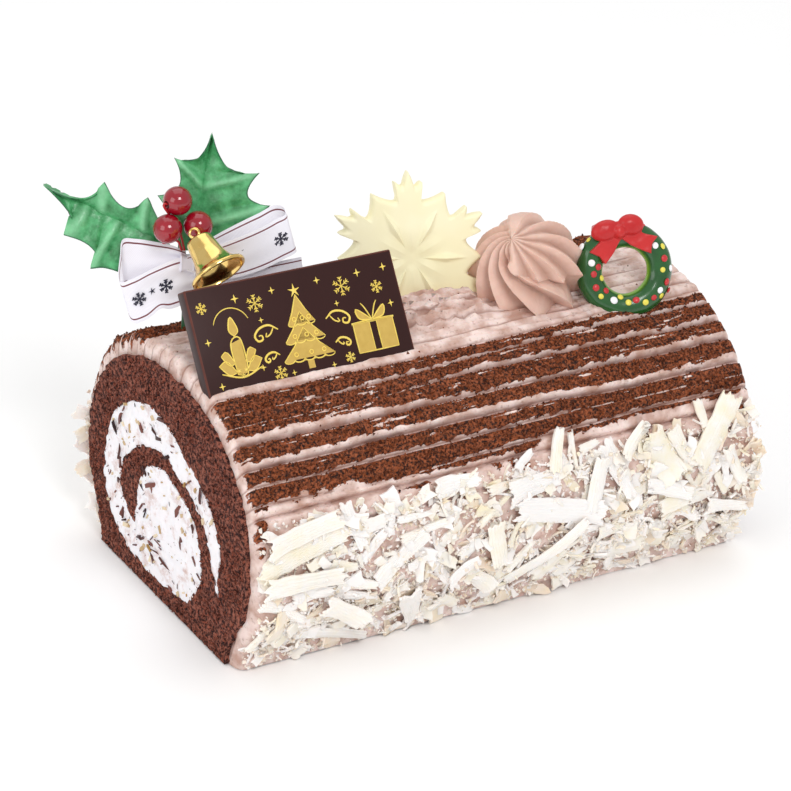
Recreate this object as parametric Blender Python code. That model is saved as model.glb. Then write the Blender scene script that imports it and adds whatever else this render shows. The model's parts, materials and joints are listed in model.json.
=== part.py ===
"""A yule log cake: a chocolate roll in ridged cream, with its toppings and a holly pick.

The origin is the centre of the flat underside. +X runs along the log, -Y is its front and +Z is up.
All sizes are in millimetres. make_node() turns them into metres.
"""

import math
import random

import bmesh
import bpy
import numpy as np
from mathutils import Matrix, Vector

MM = 0.001
GAP = 0.3  # the clearance between pieces that touch

# The rolled sponge and its coat of cream
SPONGE_LEFT = -81.75
SPONGE_RIGHT = 80.0
SPONGE_HALF_WIDTH = 44.0
SPONGE_FOOT_HALF = 35.0
SPONGE_HEIGHT = 67.3
WAIST_HEIGHT = 25.0  # where the roll is widest
ROUNDNESS = 2.3  # the power of the rounded upper outline
EYE_HEIGHT = 31.0  # the middle of the spiral
RIGHT_END_LEAN = 3.0  # how far the top of the right end leans inwards
COAT_THICK = 5.0
COAT_LEFT = -80.5
COAT_RIGHT = 79.25
END_ROUND = 4.5  # the length over which the coat thins at each end
RIDGE_PITCH = 7.3
RIDGE_DEPTH = 1.8
RIDGE_FROM_HEIGHT = 30.0  # the comb marks stop at this height on both sides

# The spiral at the cut: (angle, share of the way from the eye to the outline).
# 0 degrees is the front, 90 the top, 180 the back and 270 the underside.
OUTER_TURN = (
    (-58, 0.77), (-100, 0.84), (-136, 0.75), (-166, 0.80), (-205, 0.75), (-242, 0.68),
    (-268, 0.62), (-296, 0.54), (-326, 0.58), (-355, 0.69), (-375, 0.70), (-384, 0.77),
)
STRIP_OUTSIDE = (
    (-376, 0.64), (-352, 0.49), (-329, 0.37), (-294, 0.32), (-254, 0.36), (-207, 0.42),
    (-180, 0.54), (-163, 0.59), (-149, 0.56), (-138, 0.49),
)
STRIP_INSIDE = (
    (-148, 0.41), (-170, 0.33), (-205, 0.27), (-259, 0.23), (-288, 0.21), (-324, 0.24),
    (-355, 0.39), (-387, 0.55), (-405, 0.60),
)

# Toppings that stand in the cream
PLAQUE = (62.0, 29.6, 4.2)
PLAQUE_SUNK = 0.8
PLAQUE_CORNER = (-79.4, -17.7, 69.4)  # lower left corner of its face, at the cream
PLAQUE_LEAN = 35.0
FLAKE_CENTRE = (-1.9, 12.0, 81.5)
FLAKE_TURN = -20.0
FLAKE_LEAN = 17.0
FLAKE_THICK = 4.0
FLAKE_FOOT_HEIGHT = 69.3
ROSETTE_CENTRE = (27.5, -1.5)
ROSETTE_RADIUS = 16.0
ROSETTE_TOP = (19.5, -4.0, 91.0)
ROSETTE_RIDGES = 11
WREATH_CENTRE = (51.0, -14.0, 79.0)
WREATH_TURN = -20.0
WREATH_LEAN = 22.0
WREATH_RADIUS = 9.9
WREATH_TUBE = 3.6

# The holly pick, drawn from its knot
KNOT = (-64.9, 23.0, 87.5)
PICK_TURN = -28.0
PICK_LEAN = 15.0
BERRY_RADIUS = 3.9
BERRIES = ((-3.3, 16.8, 2.5), (-5.7, 9.6, 4.4), (2.3, 10.4, 2.2))
LEAF_THICK = 0.6
LEAF_BACK = -4.2
STAKE_RADIUS = 1.1
STAKE_LENGTH = 30.0
BELL_CROWN = (2.1, 8.2, 9.0)
BELL_AXIS = (0.514, -0.708, 0.477)  # from the crown to the mouth
BELL_LENGTH = 11.6
BELL_MOUTH_RADIUS = 7.8
RIBBON_THICK = 4.6

# Outlines drawn flat. Those of the pick are measured from its knot.
FLAKE_HALF_ARM = ((25.0, 0.0), (21.0, 5.0), (22.3, 11.2), (17.2, 12.4), (17.7, 20.5), (21.4, 30.0))
FLAKE_SQUEEZE = (0.94, -0.05, 0.95)  # the mould is a little narrower than it is tall, and leans
FLAKE_STAR = (17.0, 5.5)  # the radii of the raised star's tips and hollows
FLAKE_RAISED = 1.6
BOW_OUTLINE = (
    (-9.9, 9.5), (-9.4, 12.6), (-5.0, 14.2), (1.3, 15.2), (3.8, 13.0), (3.9, 10.4), (8.4, 9.4),
    (6.5, 4.6), (1.0, 6.6), (-2.0, 8.0), (-4.0, 5.0), (-6.4, 1.9), (-8.5, 4.2), (-10.8, 5.2), (-7.6, 8.4),
)
LEAF_LEFT = (
    (-38.9, 19.5), (-31.1, 10.4), (-32.8, 6.6), (-25.4, 3.1), (-25.6, -2.2), (-17.0, -3.2),
    (-4.0, 1.5), (-6.5, 7.0), (-9.7, 10.4), (-11.6, 17.0), (-17.4, 14.8), (-22.9, 20.7), (-27.9, 16.4),
)
LEAF_RIGHT = (
    (4.9, 34.7), (2.2, 27.8), (-4.9, 28.0), (-3.1, 21.1), (-8.8, 17.9), (-3.0, 8.0), (1.5, 3.0),
    (4.5, 3.2), (12.0, 7.0), (21.0, 16.2), (15.0, 18.5), (17.7, 24.8), (10.7, 25.8),
)
RIBBON_LEFT = ((-2.6, 2.6), (-17.1, 5.6), (-17.7, -6.3), (-13.2, -16.7), (-5.2, -13.6), (-2.6, -2.8))
RIBBON_RIGHT = ((2.6, 2.8), (5.8, 6.2), (23.7, 16.2), (25.3, 14.3), (28.4, 4.8), (17.0, -0.8), (2.6, -2.8))
RIBBON_TAIL = ((2.6, -3.2), (17.0, -1.4), (30.1, 2.1), (31.5, -6.0), (16.0, -9.0), (2.6, -6.0))

# White chocolate shavings on the front. Each row: place along the log, distance round the coat
# from its front foot, length, width, turn
FRONT_SHAVINGS = (
    (-68.3, 45.1, 22.5, 5.0, 9.0), (-68.3, 39.6, 26.0, 6.2, 12.0), (-68.5, 32.4, 24.0, 5.0, -4.0),
    (-52.6, 43.7, 13.0, 3.8, -71.0), (-38.5, 31.5, 19.0, 5.6, 35.0), (-31.5, 12.5, 18.0, 6.6, -68.0),
    (-55.0, 8.2, 23.0, 4.0, -18.0), (-55.0, 20.0, 17.5, 5.4, -33.0), (-21.1, 47.8, 13.0, 5.6, 0.0),
    (-19.0, 23.5, 10.0, 4.6, 25.0), (-9.2, 29.2, 13.5, 5.2, -76.0), (2.7, 42.3, 16.0, 6.6, 5.0),
    (10.5, 33.6, 29.0, 6.4, -14.0), (8.6, 20.7, 26.0, 5.8, 42.0), (10.5, 50.0, 11.0, 3.6, 80.0),
    (22.7, 38.3, 15.0, 4.8, 75.0), (29.5, 41.0, 17.5, 5.4, -64.0), (35.7, 47.7, 11.0, 3.8, 42.0),
    (45.8, 41.6, 14.5, 9.4, -62.0), (47.0, 32.4, 15.0, 4.4, -20.0), (30.0, 22.8, 12.0, 4.6, -10.0),
    (64.0, 45.0, 21.5, 7.0, 52.0), (53.0, 42.5, 13.0, 4.4, -64.0), (67.0, 22.5, 14.0, 5.4, -15.0),
    (70.0, 34.5, 11.5, 4.0, -65.0), (-12.0, 17.0, 13.0, 5.4, -40.0),
)
BACK_SHAVINGS = 8
SHAVING_THICK = 0.8
SHAVING_LAYER = 1.2


# ---------------------------------------------------------------- objects and materials


def clear_scene():
    for item in list(bpy.data.objects):
        bpy.data.objects.remove(item, do_unlink=True)


def material(name, colour, roughness, metallic=0.0):
    made = bpy.data.materials.new(name)
    made.use_nodes = True
    shader = made.node_tree.nodes["Principled BSDF"]
    shader.inputs["Base Color"].default_value = (*colour, 1.0)
    shader.inputs["Roughness"].default_value = roughness
    shader.inputs["Metallic"].default_value = metallic
    made.diffuse_color = (*colour, 1.0)
    return made


def make_node(name, shape, look, place=None, smooth_below=35.0):
    """One object from a bmesh drawn in millimetres, put where the matrix says."""
    bmesh.ops.recalc_face_normals(shape, faces=shape.faces)
    bmesh.ops.scale(shape, vec=(MM, MM, MM), verts=shape.verts)
    mesh = bpy.data.meshes.new(name)
    shape.to_mesh(mesh)
    shape.free()
    mesh.shade_smooth()
    mesh.set_sharp_from_angle(angle=math.radians(smooth_below))
    mesh.materials.append(look)
    node = bpy.data.objects.new(name, mesh)
    bpy.context.scene.collection.objects.link(node)
    if place is not None:
        node.matrix_world = Matrix.Translation(place.translation * MM) @ place.to_3x3().to_4x4()
    return node


def cut_away(node, cutter):
    """Cuts one piece's clearance out of another."""
    cutter.hide_render = True
    cutter.display_type = "WIRE"
    cut = node.modifiers.new("cut " + cutter.name, "BOOLEAN")
    cut.operation = "DIFFERENCE"
    cut.object = cutter


def standing_frame(origin, turn, lean):
    """A frame whose Z faces the front, turned about the vertical and leant back. Its Y runs up the face."""
    upright = Matrix.Rotation(math.radians(90 - lean), 4, "X")
    return Matrix.Translation(origin) @ Matrix.Rotation(math.radians(turn), 4, "Z") @ upright


def frame_along(origin, direction):
    """A frame whose Z runs along the direction."""
    turned = Vector(direction).to_track_quat("Z", "Y").to_matrix().to_4x4()
    return Matrix.Translation(origin) @ turned


# ---------------------------------------------------------------- outlines


def even_steps(points, marks):
    """The points of a polyline at the given distances along it."""
    points = np.asarray(points)
    run = np.concatenate([[0.0], np.cumsum(np.linalg.norm(np.diff(points, axis=0), axis=1))])
    return np.column_stack([np.interp(marks, run, points[:, i]) for i in range(points.shape[1])])


def length_of(points):
    return float(np.linalg.norm(np.diff(points, axis=0), axis=1).sum())


def arch(grow):
    """The roll's outline in (y, z), from the front foot over the top to the back foot."""
    turn = np.linspace(0.0, math.pi, 361)
    power = 2 / ROUNDNESS
    half = SPONGE_HALF_WIDTH + grow
    rise = SPONGE_HEIGHT - WAIST_HEIGHT + grow
    top_y = -half * np.sign(np.cos(turn)) * np.abs(np.cos(turn)) ** power
    top_z = WAIST_HEIGHT + rise * np.abs(np.sin(turn)) ** power
    low_z = np.linspace(0.0, WAIST_HEIGHT, 40, endpoint=False)
    swell = 0.5 + 0.5 * np.cos(math.pi * (WAIST_HEIGHT - low_z) / WAIST_HEIGHT)
    low_y = SPONGE_FOOT_HALF + grow + (SPONGE_HALF_WIDTH - SPONGE_FOOT_HALF) * swell
    y = np.concatenate([-low_y, top_y, low_y[::-1]])
    z = np.concatenate([low_z, top_z, low_z[::-1]])
    return np.column_stack([y, z])


def outward(points):
    """Unit normals along an arch, pointing away from the roll."""
    along = np.gradient(points, axis=0)
    normal = np.column_stack([-along[:, 1], along[:, 0]])
    return normal / np.linalg.norm(normal, axis=1)[:, None]


def eye_polar(angle, share):
    """The point in (y, z) at this angle about the eye, at this share of the way to the outline."""
    edge = arch(0.0)
    base = np.column_stack([np.linspace(SPONGE_FOOT_HALF, -SPONGE_FOOT_HALF, 30)[1:-1], np.zeros(28)])
    edge = np.concatenate([edge, base])
    angles = np.degrees(np.arctan2(edge[:, 1] - EYE_HEIGHT, -edge[:, 0]))
    radii = np.hypot(edge[:, 0], edge[:, 1] - EYE_HEIGHT)
    order = np.argsort(angles)
    reach = share * np.interp((angle + 180) % 360 - 180, angles[order], radii[order], period=360)
    turn = math.radians(angle)
    return (-reach * math.cos(turn), EYE_HEIGHT + reach * math.sin(turn))


def curve_through(points, spacing):
    """A smooth open curve through the points, at even steps."""
    points = np.asarray(points, dtype=float)
    padded = np.concatenate([[2 * points[0] - points[1]], points, [2 * points[-1] - points[-2]]])
    fine = []
    for a, b, c, d in zip(padded, padded[1:], padded[2:], padded[3:]):
        for t in np.linspace(0.0, 1.0, 16, endpoint=False):
            pull = -a + 3 * b - 3 * c + d
            fine.append(0.5 * (2 * b + (c - a) * t + (2 * a - 5 * b + 4 * c - d) * t**2 + pull * t**3))
    fine.append(points[-1])
    total = length_of(fine)
    return even_steps(fine, np.linspace(0.0, total, max(2, round(total / spacing) + 1)))


def spiral_loop():
    """The closed outline of the filling, round the outer turn and in between the inner strip's sides."""
    stretches = (OUTER_TURN, STRIP_OUTSIDE, STRIP_INSIDE)
    curves = [curve_through([eye_polar(a, s) for a, s in stretch], 3.0) for stretch in stretches]
    return np.concatenate(curves)


def inset_loop(points, distance):
    """A closed loop moved inwards by a small distance."""
    ahead = np.roll(points, -1, axis=0)
    edge = ahead - points
    side = np.column_stack([-edge[:, 1], edge[:, 0]]) / np.linalg.norm(edge, axis=1)[:, None]
    before = np.roll(side, 1, axis=0)
    sharpness = np.maximum(1 + (side * before).sum(axis=1), 0.4)
    area = float((points[:, 0] * ahead[:, 1] - ahead[:, 0] * points[:, 1]).sum())
    return points + (side + before) * (math.copysign(distance, area) / sharpness)[:, None]


# ---------------------------------------------------------------- building blocks


def loft(loops):
    """A solid through closed loops with the same number of points."""
    shape = bmesh.new()
    rings = [[shape.verts.new(point) for point in loop] for loop in loops]
    count = len(rings[0])
    for near, far in zip(rings, rings[1:]):
        for i in range(count):
            j = (i + 1) % count
            shape.faces.new((near[i], near[j], far[j], far[i]))
    shape.faces.new(rings[0])
    shape.faces.new(rings[-1])
    return shape


def extruded(loops, low, high):
    """A solid between two heights, from an outline and any holes in it."""
    shape = bmesh.new()
    edges = []
    for loop in loops:
        verts = [shape.verts.new((x, y, low)) for x, y in loop]
        edges += [shape.edges.new((a, b)) for a, b in zip(verts, verts[1:] + verts[:1])]
    faces = bmesh.ops.triangle_fill(shape, use_beauty=True, edges=edges)["geom"]
    faces = [face for face in faces if isinstance(face, bmesh.types.BMFace)]
    raised = bmesh.ops.extrude_face_region(shape, geom=faces, use_keep_orig=True)["geom"]
    raised = [vert for vert in raised if isinstance(vert, bmesh.types.BMVert)]
    bmesh.ops.translate(shape, vec=(0, 0, high - low), verts=raised)
    return shape


def turned(profile, steps):
    """A closed solid from a profile of (radius, height) turned about Z. It starts and ends on the axis."""
    shape = bmesh.new()
    verts = [shape.verts.new((radius, 0, height)) for radius, height in profile]
    edges = [shape.edges.new(pair) for pair in zip(verts, verts[1:])]
    bmesh.ops.spin(
        shape, geom=verts + edges, axis=(0, 0, 1), cent=(0, 0, 0),
        angle=2 * math.pi, steps=steps, use_merge=True,
    )
    bmesh.ops.remove_doubles(shape, verts=shape.verts, dist=0.001)
    return shape


def ring(radius, tube, depth, around, across):
    """A torus in the XY plane, with its tube stretched to the depth."""
    shape = bmesh.new()
    verts = []
    for i in range(across):
        turn = 2 * math.pi * i / across
        verts.append(shape.verts.new((radius + tube * math.cos(turn), 0, depth * math.sin(turn))))
    edges = [shape.edges.new(pair) for pair in zip(verts, verts[1:] + verts[:1])]
    bmesh.ops.spin(
        shape, geom=verts + edges, axis=(0, 0, 1), cent=(0, 0, 0),
        angle=2 * math.pi, steps=around, use_merge=True,
    )
    return shape


def slab(low, high):
    shape = bmesh.new()
    bmesh.ops.create_cube(shape, size=1.0)
    size = [b - a for a, b in zip(low, high)]
    centre = [(a + b) / 2 for a, b in zip(low, high)]
    bmesh.ops.scale(shape, vec=size, verts=shape.verts)
    bmesh.ops.translate(shape, vec=centre, verts=shape.verts)
    return shape


def rod(radius, low, high, sides=12):
    shape = bmesh.new()
    bmesh.ops.create_cone(
        shape, cap_ends=True, segments=sides, radius1=radius, radius2=radius, depth=high - low
    )
    bmesh.ops.translate(shape, vec=(0, 0, (low + high) / 2), verts=shape.verts)
    return shape


def stand_along_x(shape):
    """Turns a shape drawn in (y, z) and extruded along its own Z so that it runs along X."""
    turn = Matrix(((0, 0, 1), (1, 0, 0), (0, 1, 0)))
    bmesh.ops.transform(shape, matrix=turn.to_4x4(), verts=shape.verts)


def lean_right_end(shape):
    """Leans the right end's face inwards towards its top."""
    for vert in shape.verts:
        if vert.co.x > 0.5 * SPONGE_RIGHT:
            vert.co.x -= RIGHT_END_LEAN * vert.co.z / SPONGE_HEIGHT


# ---------------------------------------------------------------- the roll


def roll_cross_loop():
    """The sponge's outer outline as one closed loop."""
    outline = arch(0.0)
    outline = even_steps(outline, np.linspace(0.0, length_of(outline), 70))
    base = np.column_stack([np.linspace(SPONGE_FOOT_HALF, -SPONGE_FOOT_HALF, 12)[1:-1], np.zeros(10)])
    return np.concatenate([outline, base])


def build_sponge(look):
    shape = extruded([roll_cross_loop(), spiral_loop()], SPONGE_LEFT, SPONGE_RIGHT)
    stand_along_x(shape)
    lean_right_end(shape)
    return make_node("sponge", shape, look)


def build_filling(look):
    outline = inset_loop(spiral_loop(), GAP)
    shape = extruded([outline], SPONGE_LEFT + GAP, SPONGE_RIGHT - GAP)
    stand_along_x(shape)
    lean_right_end(shape)
    return make_node("filling", shape, look)


def coat_marks():
    """Shares of the way round the outside of the coat: close together over the ridges."""
    outline = arch(COAT_THICK)
    total = length_of(outline)
    run = np.concatenate([[0.0], np.cumsum(np.linalg.norm(np.diff(outline, axis=0), axis=1))])
    first = float(run[np.argmax(outline[:, 1] > RIDGE_FROM_HEIGHT)])
    low = np.linspace(0.0, first, 7, endpoint=False)
    fine = np.linspace(first, total - first, round((total - 2 * first) * 5 / RIDGE_PITCH))
    return np.concatenate([low, fine, total - low[::-1]]) / total


def coat_loop(x, thickness, ridge):
    """A section through the coat at x: its outside with the comb's grooves, then its inside."""
    marks = coat_marks()
    outline = arch(thickness)
    outside = even_steps(outline, marks * length_of(outline))
    from_top = (marks - 0.5) * length_of(arch(COAT_THICK))
    groove = np.abs(np.cos(math.pi * from_top / RIDGE_PITCH)) ** 5
    groove[outside[:, 1] < RIDGE_FROM_HEIGHT] = 0.0
    outside = outside - outward(outside) * (ridge * RIDGE_DEPTH * groove)[:, None]
    inside = arch(GAP)
    inside = even_steps(inside, np.linspace(length_of(inside), 0.0, 36))
    return [(x, y, z) for y, z in np.concatenate([outside, inside])]


def build_coat(look):
    stations = (
        (COAT_LEFT, 0.3, 0.0),
        (COAT_LEFT + 0.3 * END_ROUND, 0.75, 0.0),
        (COAT_LEFT + END_ROUND, 1.0, 1.0),
        (COAT_RIGHT - END_ROUND, 1.0, 1.0),
        (COAT_RIGHT - 0.3 * END_ROUND, 0.75, 0.0),
        (COAT_RIGHT, 0.3, 0.0),
    )
    shape = loft([coat_loop(x, share * COAT_THICK, ridge) for x, share, ridge in stations])
    lean_right_end(shape)
    return make_node("coat", shape, look)


# ---------------------------------------------------------------- toppings in the cream


def build_plaque(look, coat):
    width, height, thick = PLAQUE
    place = standing_frame(PLAQUE_CORNER, 0.0, PLAQUE_LEAN)
    low = (0.0, -PLAQUE_SUNK, -thick)
    high = (width, height - PLAQUE_SUNK, 0.0)
    plaque = make_node("plaque", slab(low, high), look, place)
    edge = plaque.modifiers.new("rounded edges", "BEVEL")
    edge.width = 0.6 * MM
    edge.segments = 2
    pocket = slab([value - GAP for value in low], [value + GAP for value in high])
    cut_away(coat, make_node("plaque pocket", pocket, look, place))


def flake_point(radius, angle):
    """A point of the snowflake from its distance and direction, squeezed as the mould is."""
    x = radius * math.cos(angle)
    y = radius * math.sin(angle)
    across, slant, up = FLAKE_SQUEEZE
    return (across * x + slant * y, up * y)


def flake_outline():
    points = []
    for arm in range(6):
        middle = 90 + 60 * arm
        before = [(radius, -turn) for radius, turn in FLAKE_HALF_ARM[-2:0:-1]]
        for radius, turn in (*before, *FLAKE_HALF_ARM):
            points.append(flake_point(radius, math.radians(middle + turn)))
    return points


def build_snowflake(look, coat, rosette):
    """A moulded snowflake with a raised six-pointed star between its arms, cut off where it stands."""
    shape = bmesh.new()
    front = FLAKE_THICK / 2
    outline = [shape.verts.new((x, y, front)) for x, y in flake_outline()]
    star = []
    for i in range(12):
        angle = math.radians(30 + 30 * i)
        radius = FLAKE_STAR[1] if i % 2 else FLAKE_STAR[0]
        star.append(shape.verts.new((*flake_point(radius, angle), front)))
    star = star[1:] + star[:1]
    rim = [shape.edges.new(pair) for pair in zip(outline, outline[1:] + outline[:1])]
    inner = [shape.edges.new(pair) for pair in zip(star, star[1:] + star[:1])]
    bmesh.ops.triangle_fill(shape, use_beauty=True, edges=rim + inner)
    peak = shape.verts.new((0, 0, front + FLAKE_RAISED))
    for a, b in zip(star, star[1:] + star[:1]):
        shape.faces.new((a, b, peak))
    sides = bmesh.ops.extrude_edge_only(shape, edges=rim)["geom"]
    back = [vert for vert in sides if isinstance(vert, bmesh.types.BMVert)]
    bmesh.ops.translate(shape, vec=(0, 0, -FLAKE_THICK), verts=back)
    open_edges = [edge for edge in shape.edges if edge.is_boundary]
    bmesh.ops.triangle_fill(shape, use_beauty=True, edges=open_edges)

    place = standing_frame(FLAKE_CENTRE, FLAKE_TURN, FLAKE_LEAN)
    foot = place.inverted() @ Vector((*FLAKE_CENTRE[:2], FLAKE_FOOT_HEIGHT))
    down = place.inverted().to_3x3() @ Vector((0, 0, -1))
    everything = shape.verts[:] + shape.edges[:] + shape.faces[:]
    cut = bmesh.ops.bisect_plane(shape, geom=everything, plane_co=foot, plane_no=down, clear_outer=True)
    cut_edges = [edge for edge in cut["geom_cut"] if isinstance(edge, bmesh.types.BMEdge)]
    bmesh.ops.triangle_fill(shape, use_beauty=True, edges=cut_edges)

    make_node("snowflake", shape, look, place)

    reach = FLAKE_HALF_ARM[0][0] + GAP
    foot_line = (FLAKE_FOOT_HEIGHT - FLAKE_CENTRE[2]) / math.cos(math.radians(FLAKE_LEAN))
    face = front + FLAKE_RAISED + GAP
    slot = slab((-reach, foot_line - 5 * GAP, -front - GAP), (reach, reach, face))
    cut_away(coat, make_node("snowflake slot", slot, look, place))
    side_arm = FLAKE_HALF_ARM[-1][0] + 2 * GAP
    behind = slab((-reach, -2 * reach, -2 * reach), (side_arm, reach, face))
    cut_away(rosette, make_node("back of the snowflake", behind, look, place))


def rosette_ring(share):
    """One level of the rosette, from its foot at 0 to just under its peak at 1."""
    count = ROSETTE_RIDGES * 5
    swell = math.cos(share * math.pi / 2) ** 0.75
    radius = ROSETTE_RADIUS * (0.94 + 0.3 * share) * swell + 0.5
    base = Vector((*ROSETTE_CENTRE, COAT_THICK + SPONGE_HEIGHT - 3.5))
    centre = base.lerp(Vector(ROSETTE_TOP), share)
    twist = math.radians(110) * share
    points = []
    for i in range(count):
        turn = 2 * math.pi * i / count
        ridge = 1 - 0.13 * abs(math.cos(ROSETTE_RIDGES * turn / 2)) ** 2
        angle = turn + twist
        points.append((
            centre.x + radius * ridge * math.cos(angle),
            centre.y + radius * ridge * math.sin(angle),
            centre.z,
        ))
    return points


def build_rosette(look):
    shape = loft([rosette_ring(share) for share in np.linspace(0.0, 0.98, 11)])
    rosette = make_node("rosette", shape, look, smooth_below=60.0)
    outline = arch(COAT_THICK + GAP)
    outline = even_steps(outline, np.linspace(0.0, length_of(outline), 60))
    shape = extruded([outline], 0.0, 60.0)
    stand_along_x(shape)
    cut_away(rosette, make_node("outside of the coat", shape, look))
    return rosette


def build_wreath(green, red, coat):
    place = standing_frame(WREATH_CENTRE, WREATH_TURN, WREATH_LEAN)
    depth = WREATH_TUBE - 0.6
    make_node("wreath_ring", ring(WREATH_RADIUS, WREATH_TUBE, depth, 26, 10), green, place)
    seat = ring(WREATH_RADIUS, WREATH_TUBE + GAP, depth + GAP, 26, 10)
    cut_away(coat, make_node("wreath seat", seat, green, place))
    bow = extruded([BOW_OUTLINE], depth + GAP, depth + GAP + 2.0)
    make_node("wreath_bow", bow, red, place)


# ---------------------------------------------------------------- the holly pick


def pick_frame(x=0.0, y=0.0, forward=0.0):
    """A frame on the pick: its origin is x across, y up and forward of the knot."""
    return standing_frame(KNOT, PICK_TURN, PICK_LEAN) @ Matrix.Translation((x, y, forward))


def build_leaves(look):
    for name, outline in (("leaf_left", LEAF_LEFT), ("leaf_right", LEAF_RIGHT)):
        make_node(name, extruded([outline], 0.0, LEAF_THICK), look, pick_frame(0.3, -0.7, LEAF_BACK))


def build_berries(red, wire):
    for number, (x, y, forward) in enumerate(BERRIES, 1):
        shape = bmesh.new()
        bmesh.ops.create_uvsphere(shape, u_segments=16, v_segments=9, radius=BERRY_RADIUS)
        make_node(f"berry_{number}", shape, red, pick_frame(x, y, forward), 80.0)
        start = Vector((0.3 * x, 3.5, -1.2))
        path = Vector((x, y, forward)) - start
        place = pick_frame() @ frame_along(start, path)
        thin = rod(0.35, 0.0, path.length - BERRY_RADIUS - GAP, 6)
        make_node(f"berry_wire_{number}", thin, wire, place)


def build_bell(look):
    """A thin bell with a flared mouth, the ring it hangs by and its clapper."""
    mouth = BELL_MOUTH_RADIUS
    length = BELL_LENGTH
    outside = (
        (0.0, 0.0), (2.9, 0.0), (3.5, 0.6), (3.9, 0.35 * length), (4.7, 0.6 * length),
        (6.2, 0.84 * length), (mouth, 0.95 * length), (mouth, length),
    )
    inside = (
        (mouth - 0.7, length), (5.5, 0.86 * length), (4.0, 0.62 * length),
        (3.1, 0.35 * length), (2.8, 1.0), (0.0, 0.9),
    )
    place = pick_frame() @ frame_along(BELL_CROWN, BELL_AXIS)
    make_node("bell", turned(outside + inside, 28), look, place)
    loop_place = place @ Matrix.Translation((0, 0, -2.0)) @ Matrix.Rotation(math.radians(90), 4, "X")
    make_node("bell_loop", ring(1.25, 0.4, 0.4, 14, 6), look, loop_place, 80.0)
    clapper = bmesh.new()
    bmesh.ops.create_uvsphere(clapper, u_segments=10, v_segments=6, radius=1.3)
    make_node("bell_clapper", clapper, look, place @ Matrix.Translation((0, 0, 0.55 * length)), 80.0)


def build_ribbon(look):
    back = -2.2
    front = back + RIBBON_THICK
    for name, outline in (("ribbon_left", RIBBON_LEFT), ("ribbon_right", RIBBON_RIGHT)):
        make_node(name, extruded([outline], back, front), look, pick_frame())
    make_node("ribbon_tail", extruded([RIBBON_TAIL], back, back + 1.0), look, pick_frame())
    knot = slab((-2.2, -2.8, back), (2.2, 2.8, front + 0.6))
    make_node("ribbon_knot", knot, look, pick_frame())


def build_stake(look, coat, sponge):
    place = pick_frame(0.0, 0.5, -3.6) @ Matrix.Rotation(math.radians(90), 4, "X")
    make_node("pick_stake", rod(STAKE_RADIUS, 0.0, STAKE_LENGTH), look, place)
    hole = make_node("stake hole", rod(STAKE_RADIUS + GAP, 0.0, STAKE_LENGTH + GAP), look, place)
    cut_away(coat, hole)
    cut_away(sponge, hole)


# ---------------------------------------------------------------- shavings on the sides


def wall_table():
    """Distances up the coat's outline from its foot, with the point and the outward normal at each."""
    outline = arch(COAT_THICK)
    run = np.concatenate([[0.0], np.cumsum(np.linalg.norm(np.diff(outline, axis=0), axis=1))])
    return run, outline, outward(outline)


def wall_point(wall, x, run, out, side):
    """A point beside the coat: x along it, run up from its foot and out from it. side is -1 at the front."""
    runs, points, normals = wall
    y, z = (
        np.interp(run, runs, points[:, i]) + out * np.interp(run, runs, normals[:, i]) for i in range(2)
    )
    return (x, -side * y, z)


def back_shavings(wall, rng):
    """A sparser scatter on the back, spread evenly along it."""
    runs, points, _ = wall
    half = len(runs) // 2
    made = []
    for i in range(BACK_SHAVINGS):
        x = COAT_LEFT + (i + 0.5) * (COAT_RIGHT - COAT_LEFT) / BACK_SHAVINGS
        run = float(np.interp(rng.uniform(14, 38), points[:half, 1], runs[:half]))
        made.append((x, run, rng.uniform(13, 20), rng.uniform(4, 7), rng.uniform(-60, 60)))
    return made


def footprint(x, run, length, width, turn):
    """Discs that cover a shaving, as (x, run, radius)."""
    angle = math.radians(turn)
    steps = max(2, round(2 * length / width))
    along = [length * ((i + 0.5) / steps - 0.5) for i in range(steps)]
    radius = 0.56 * width + GAP
    return [(x + a * math.cos(angle), run + a * math.sin(angle), radius) for a in along]


def lowest_free_layer(discs, laid):
    """The first layer in which no shaving already laid meets these discs."""
    layer = 0
    while any(
        other_layer == layer and math.hypot(a[0] - b[0], a[1] - b[1]) < a[2] + b[2]
        for other_layer, others in laid
        for a in discs
        for b in others
    ):
        layer += 1
    return layer


def shaving_shape(wall, centre, size, turn, side, layer, rng):
    """A thin plate that follows the coat, with ends of uneven width."""
    x, run = centre
    length, width = size
    angle = math.radians(turn)
    inner = GAP + 0.2 + layer * SHAVING_LAYER
    loops = []
    for along in (-0.5, -0.17, 0.17, 0.5):
        narrow = width * (rng.uniform(0.35, 0.5) if abs(along) < 0.4 else rng.uniform(0.2, 0.45))
        loop = []
        for across, out in ((-narrow, 0), (narrow, 0), (narrow, SHAVING_THICK), (-narrow, SHAVING_THICK)):
            at_x = x + along * length * math.cos(angle) - across * math.sin(angle)
            at_run = run + along * length * math.sin(angle) + across * math.cos(angle)
            loop.append(wall_point(wall, at_x, at_run, inner + out, side))
        loops.append(loop)
    return loft(loops)


def build_shavings(look):
    rng = random.Random(24)
    wall = wall_table()
    number = 0
    for side, rows in ((-1, FRONT_SHAVINGS), (1, back_shavings(wall, rng))):
        laid = []
        for x, run, length, width, turn in rows:
            number += 1
            discs = footprint(x, run, length, width, turn)
            layer = lowest_free_layer(discs, laid)
            laid.append((layer, discs))
            shape = shaving_shape(wall, (x, run), (length, width), turn, side, layer, rng)
            make_node(f"shaving_{number:02d}", shape, look)


# ---------------------------------------------------------------- the whole cake


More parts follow.
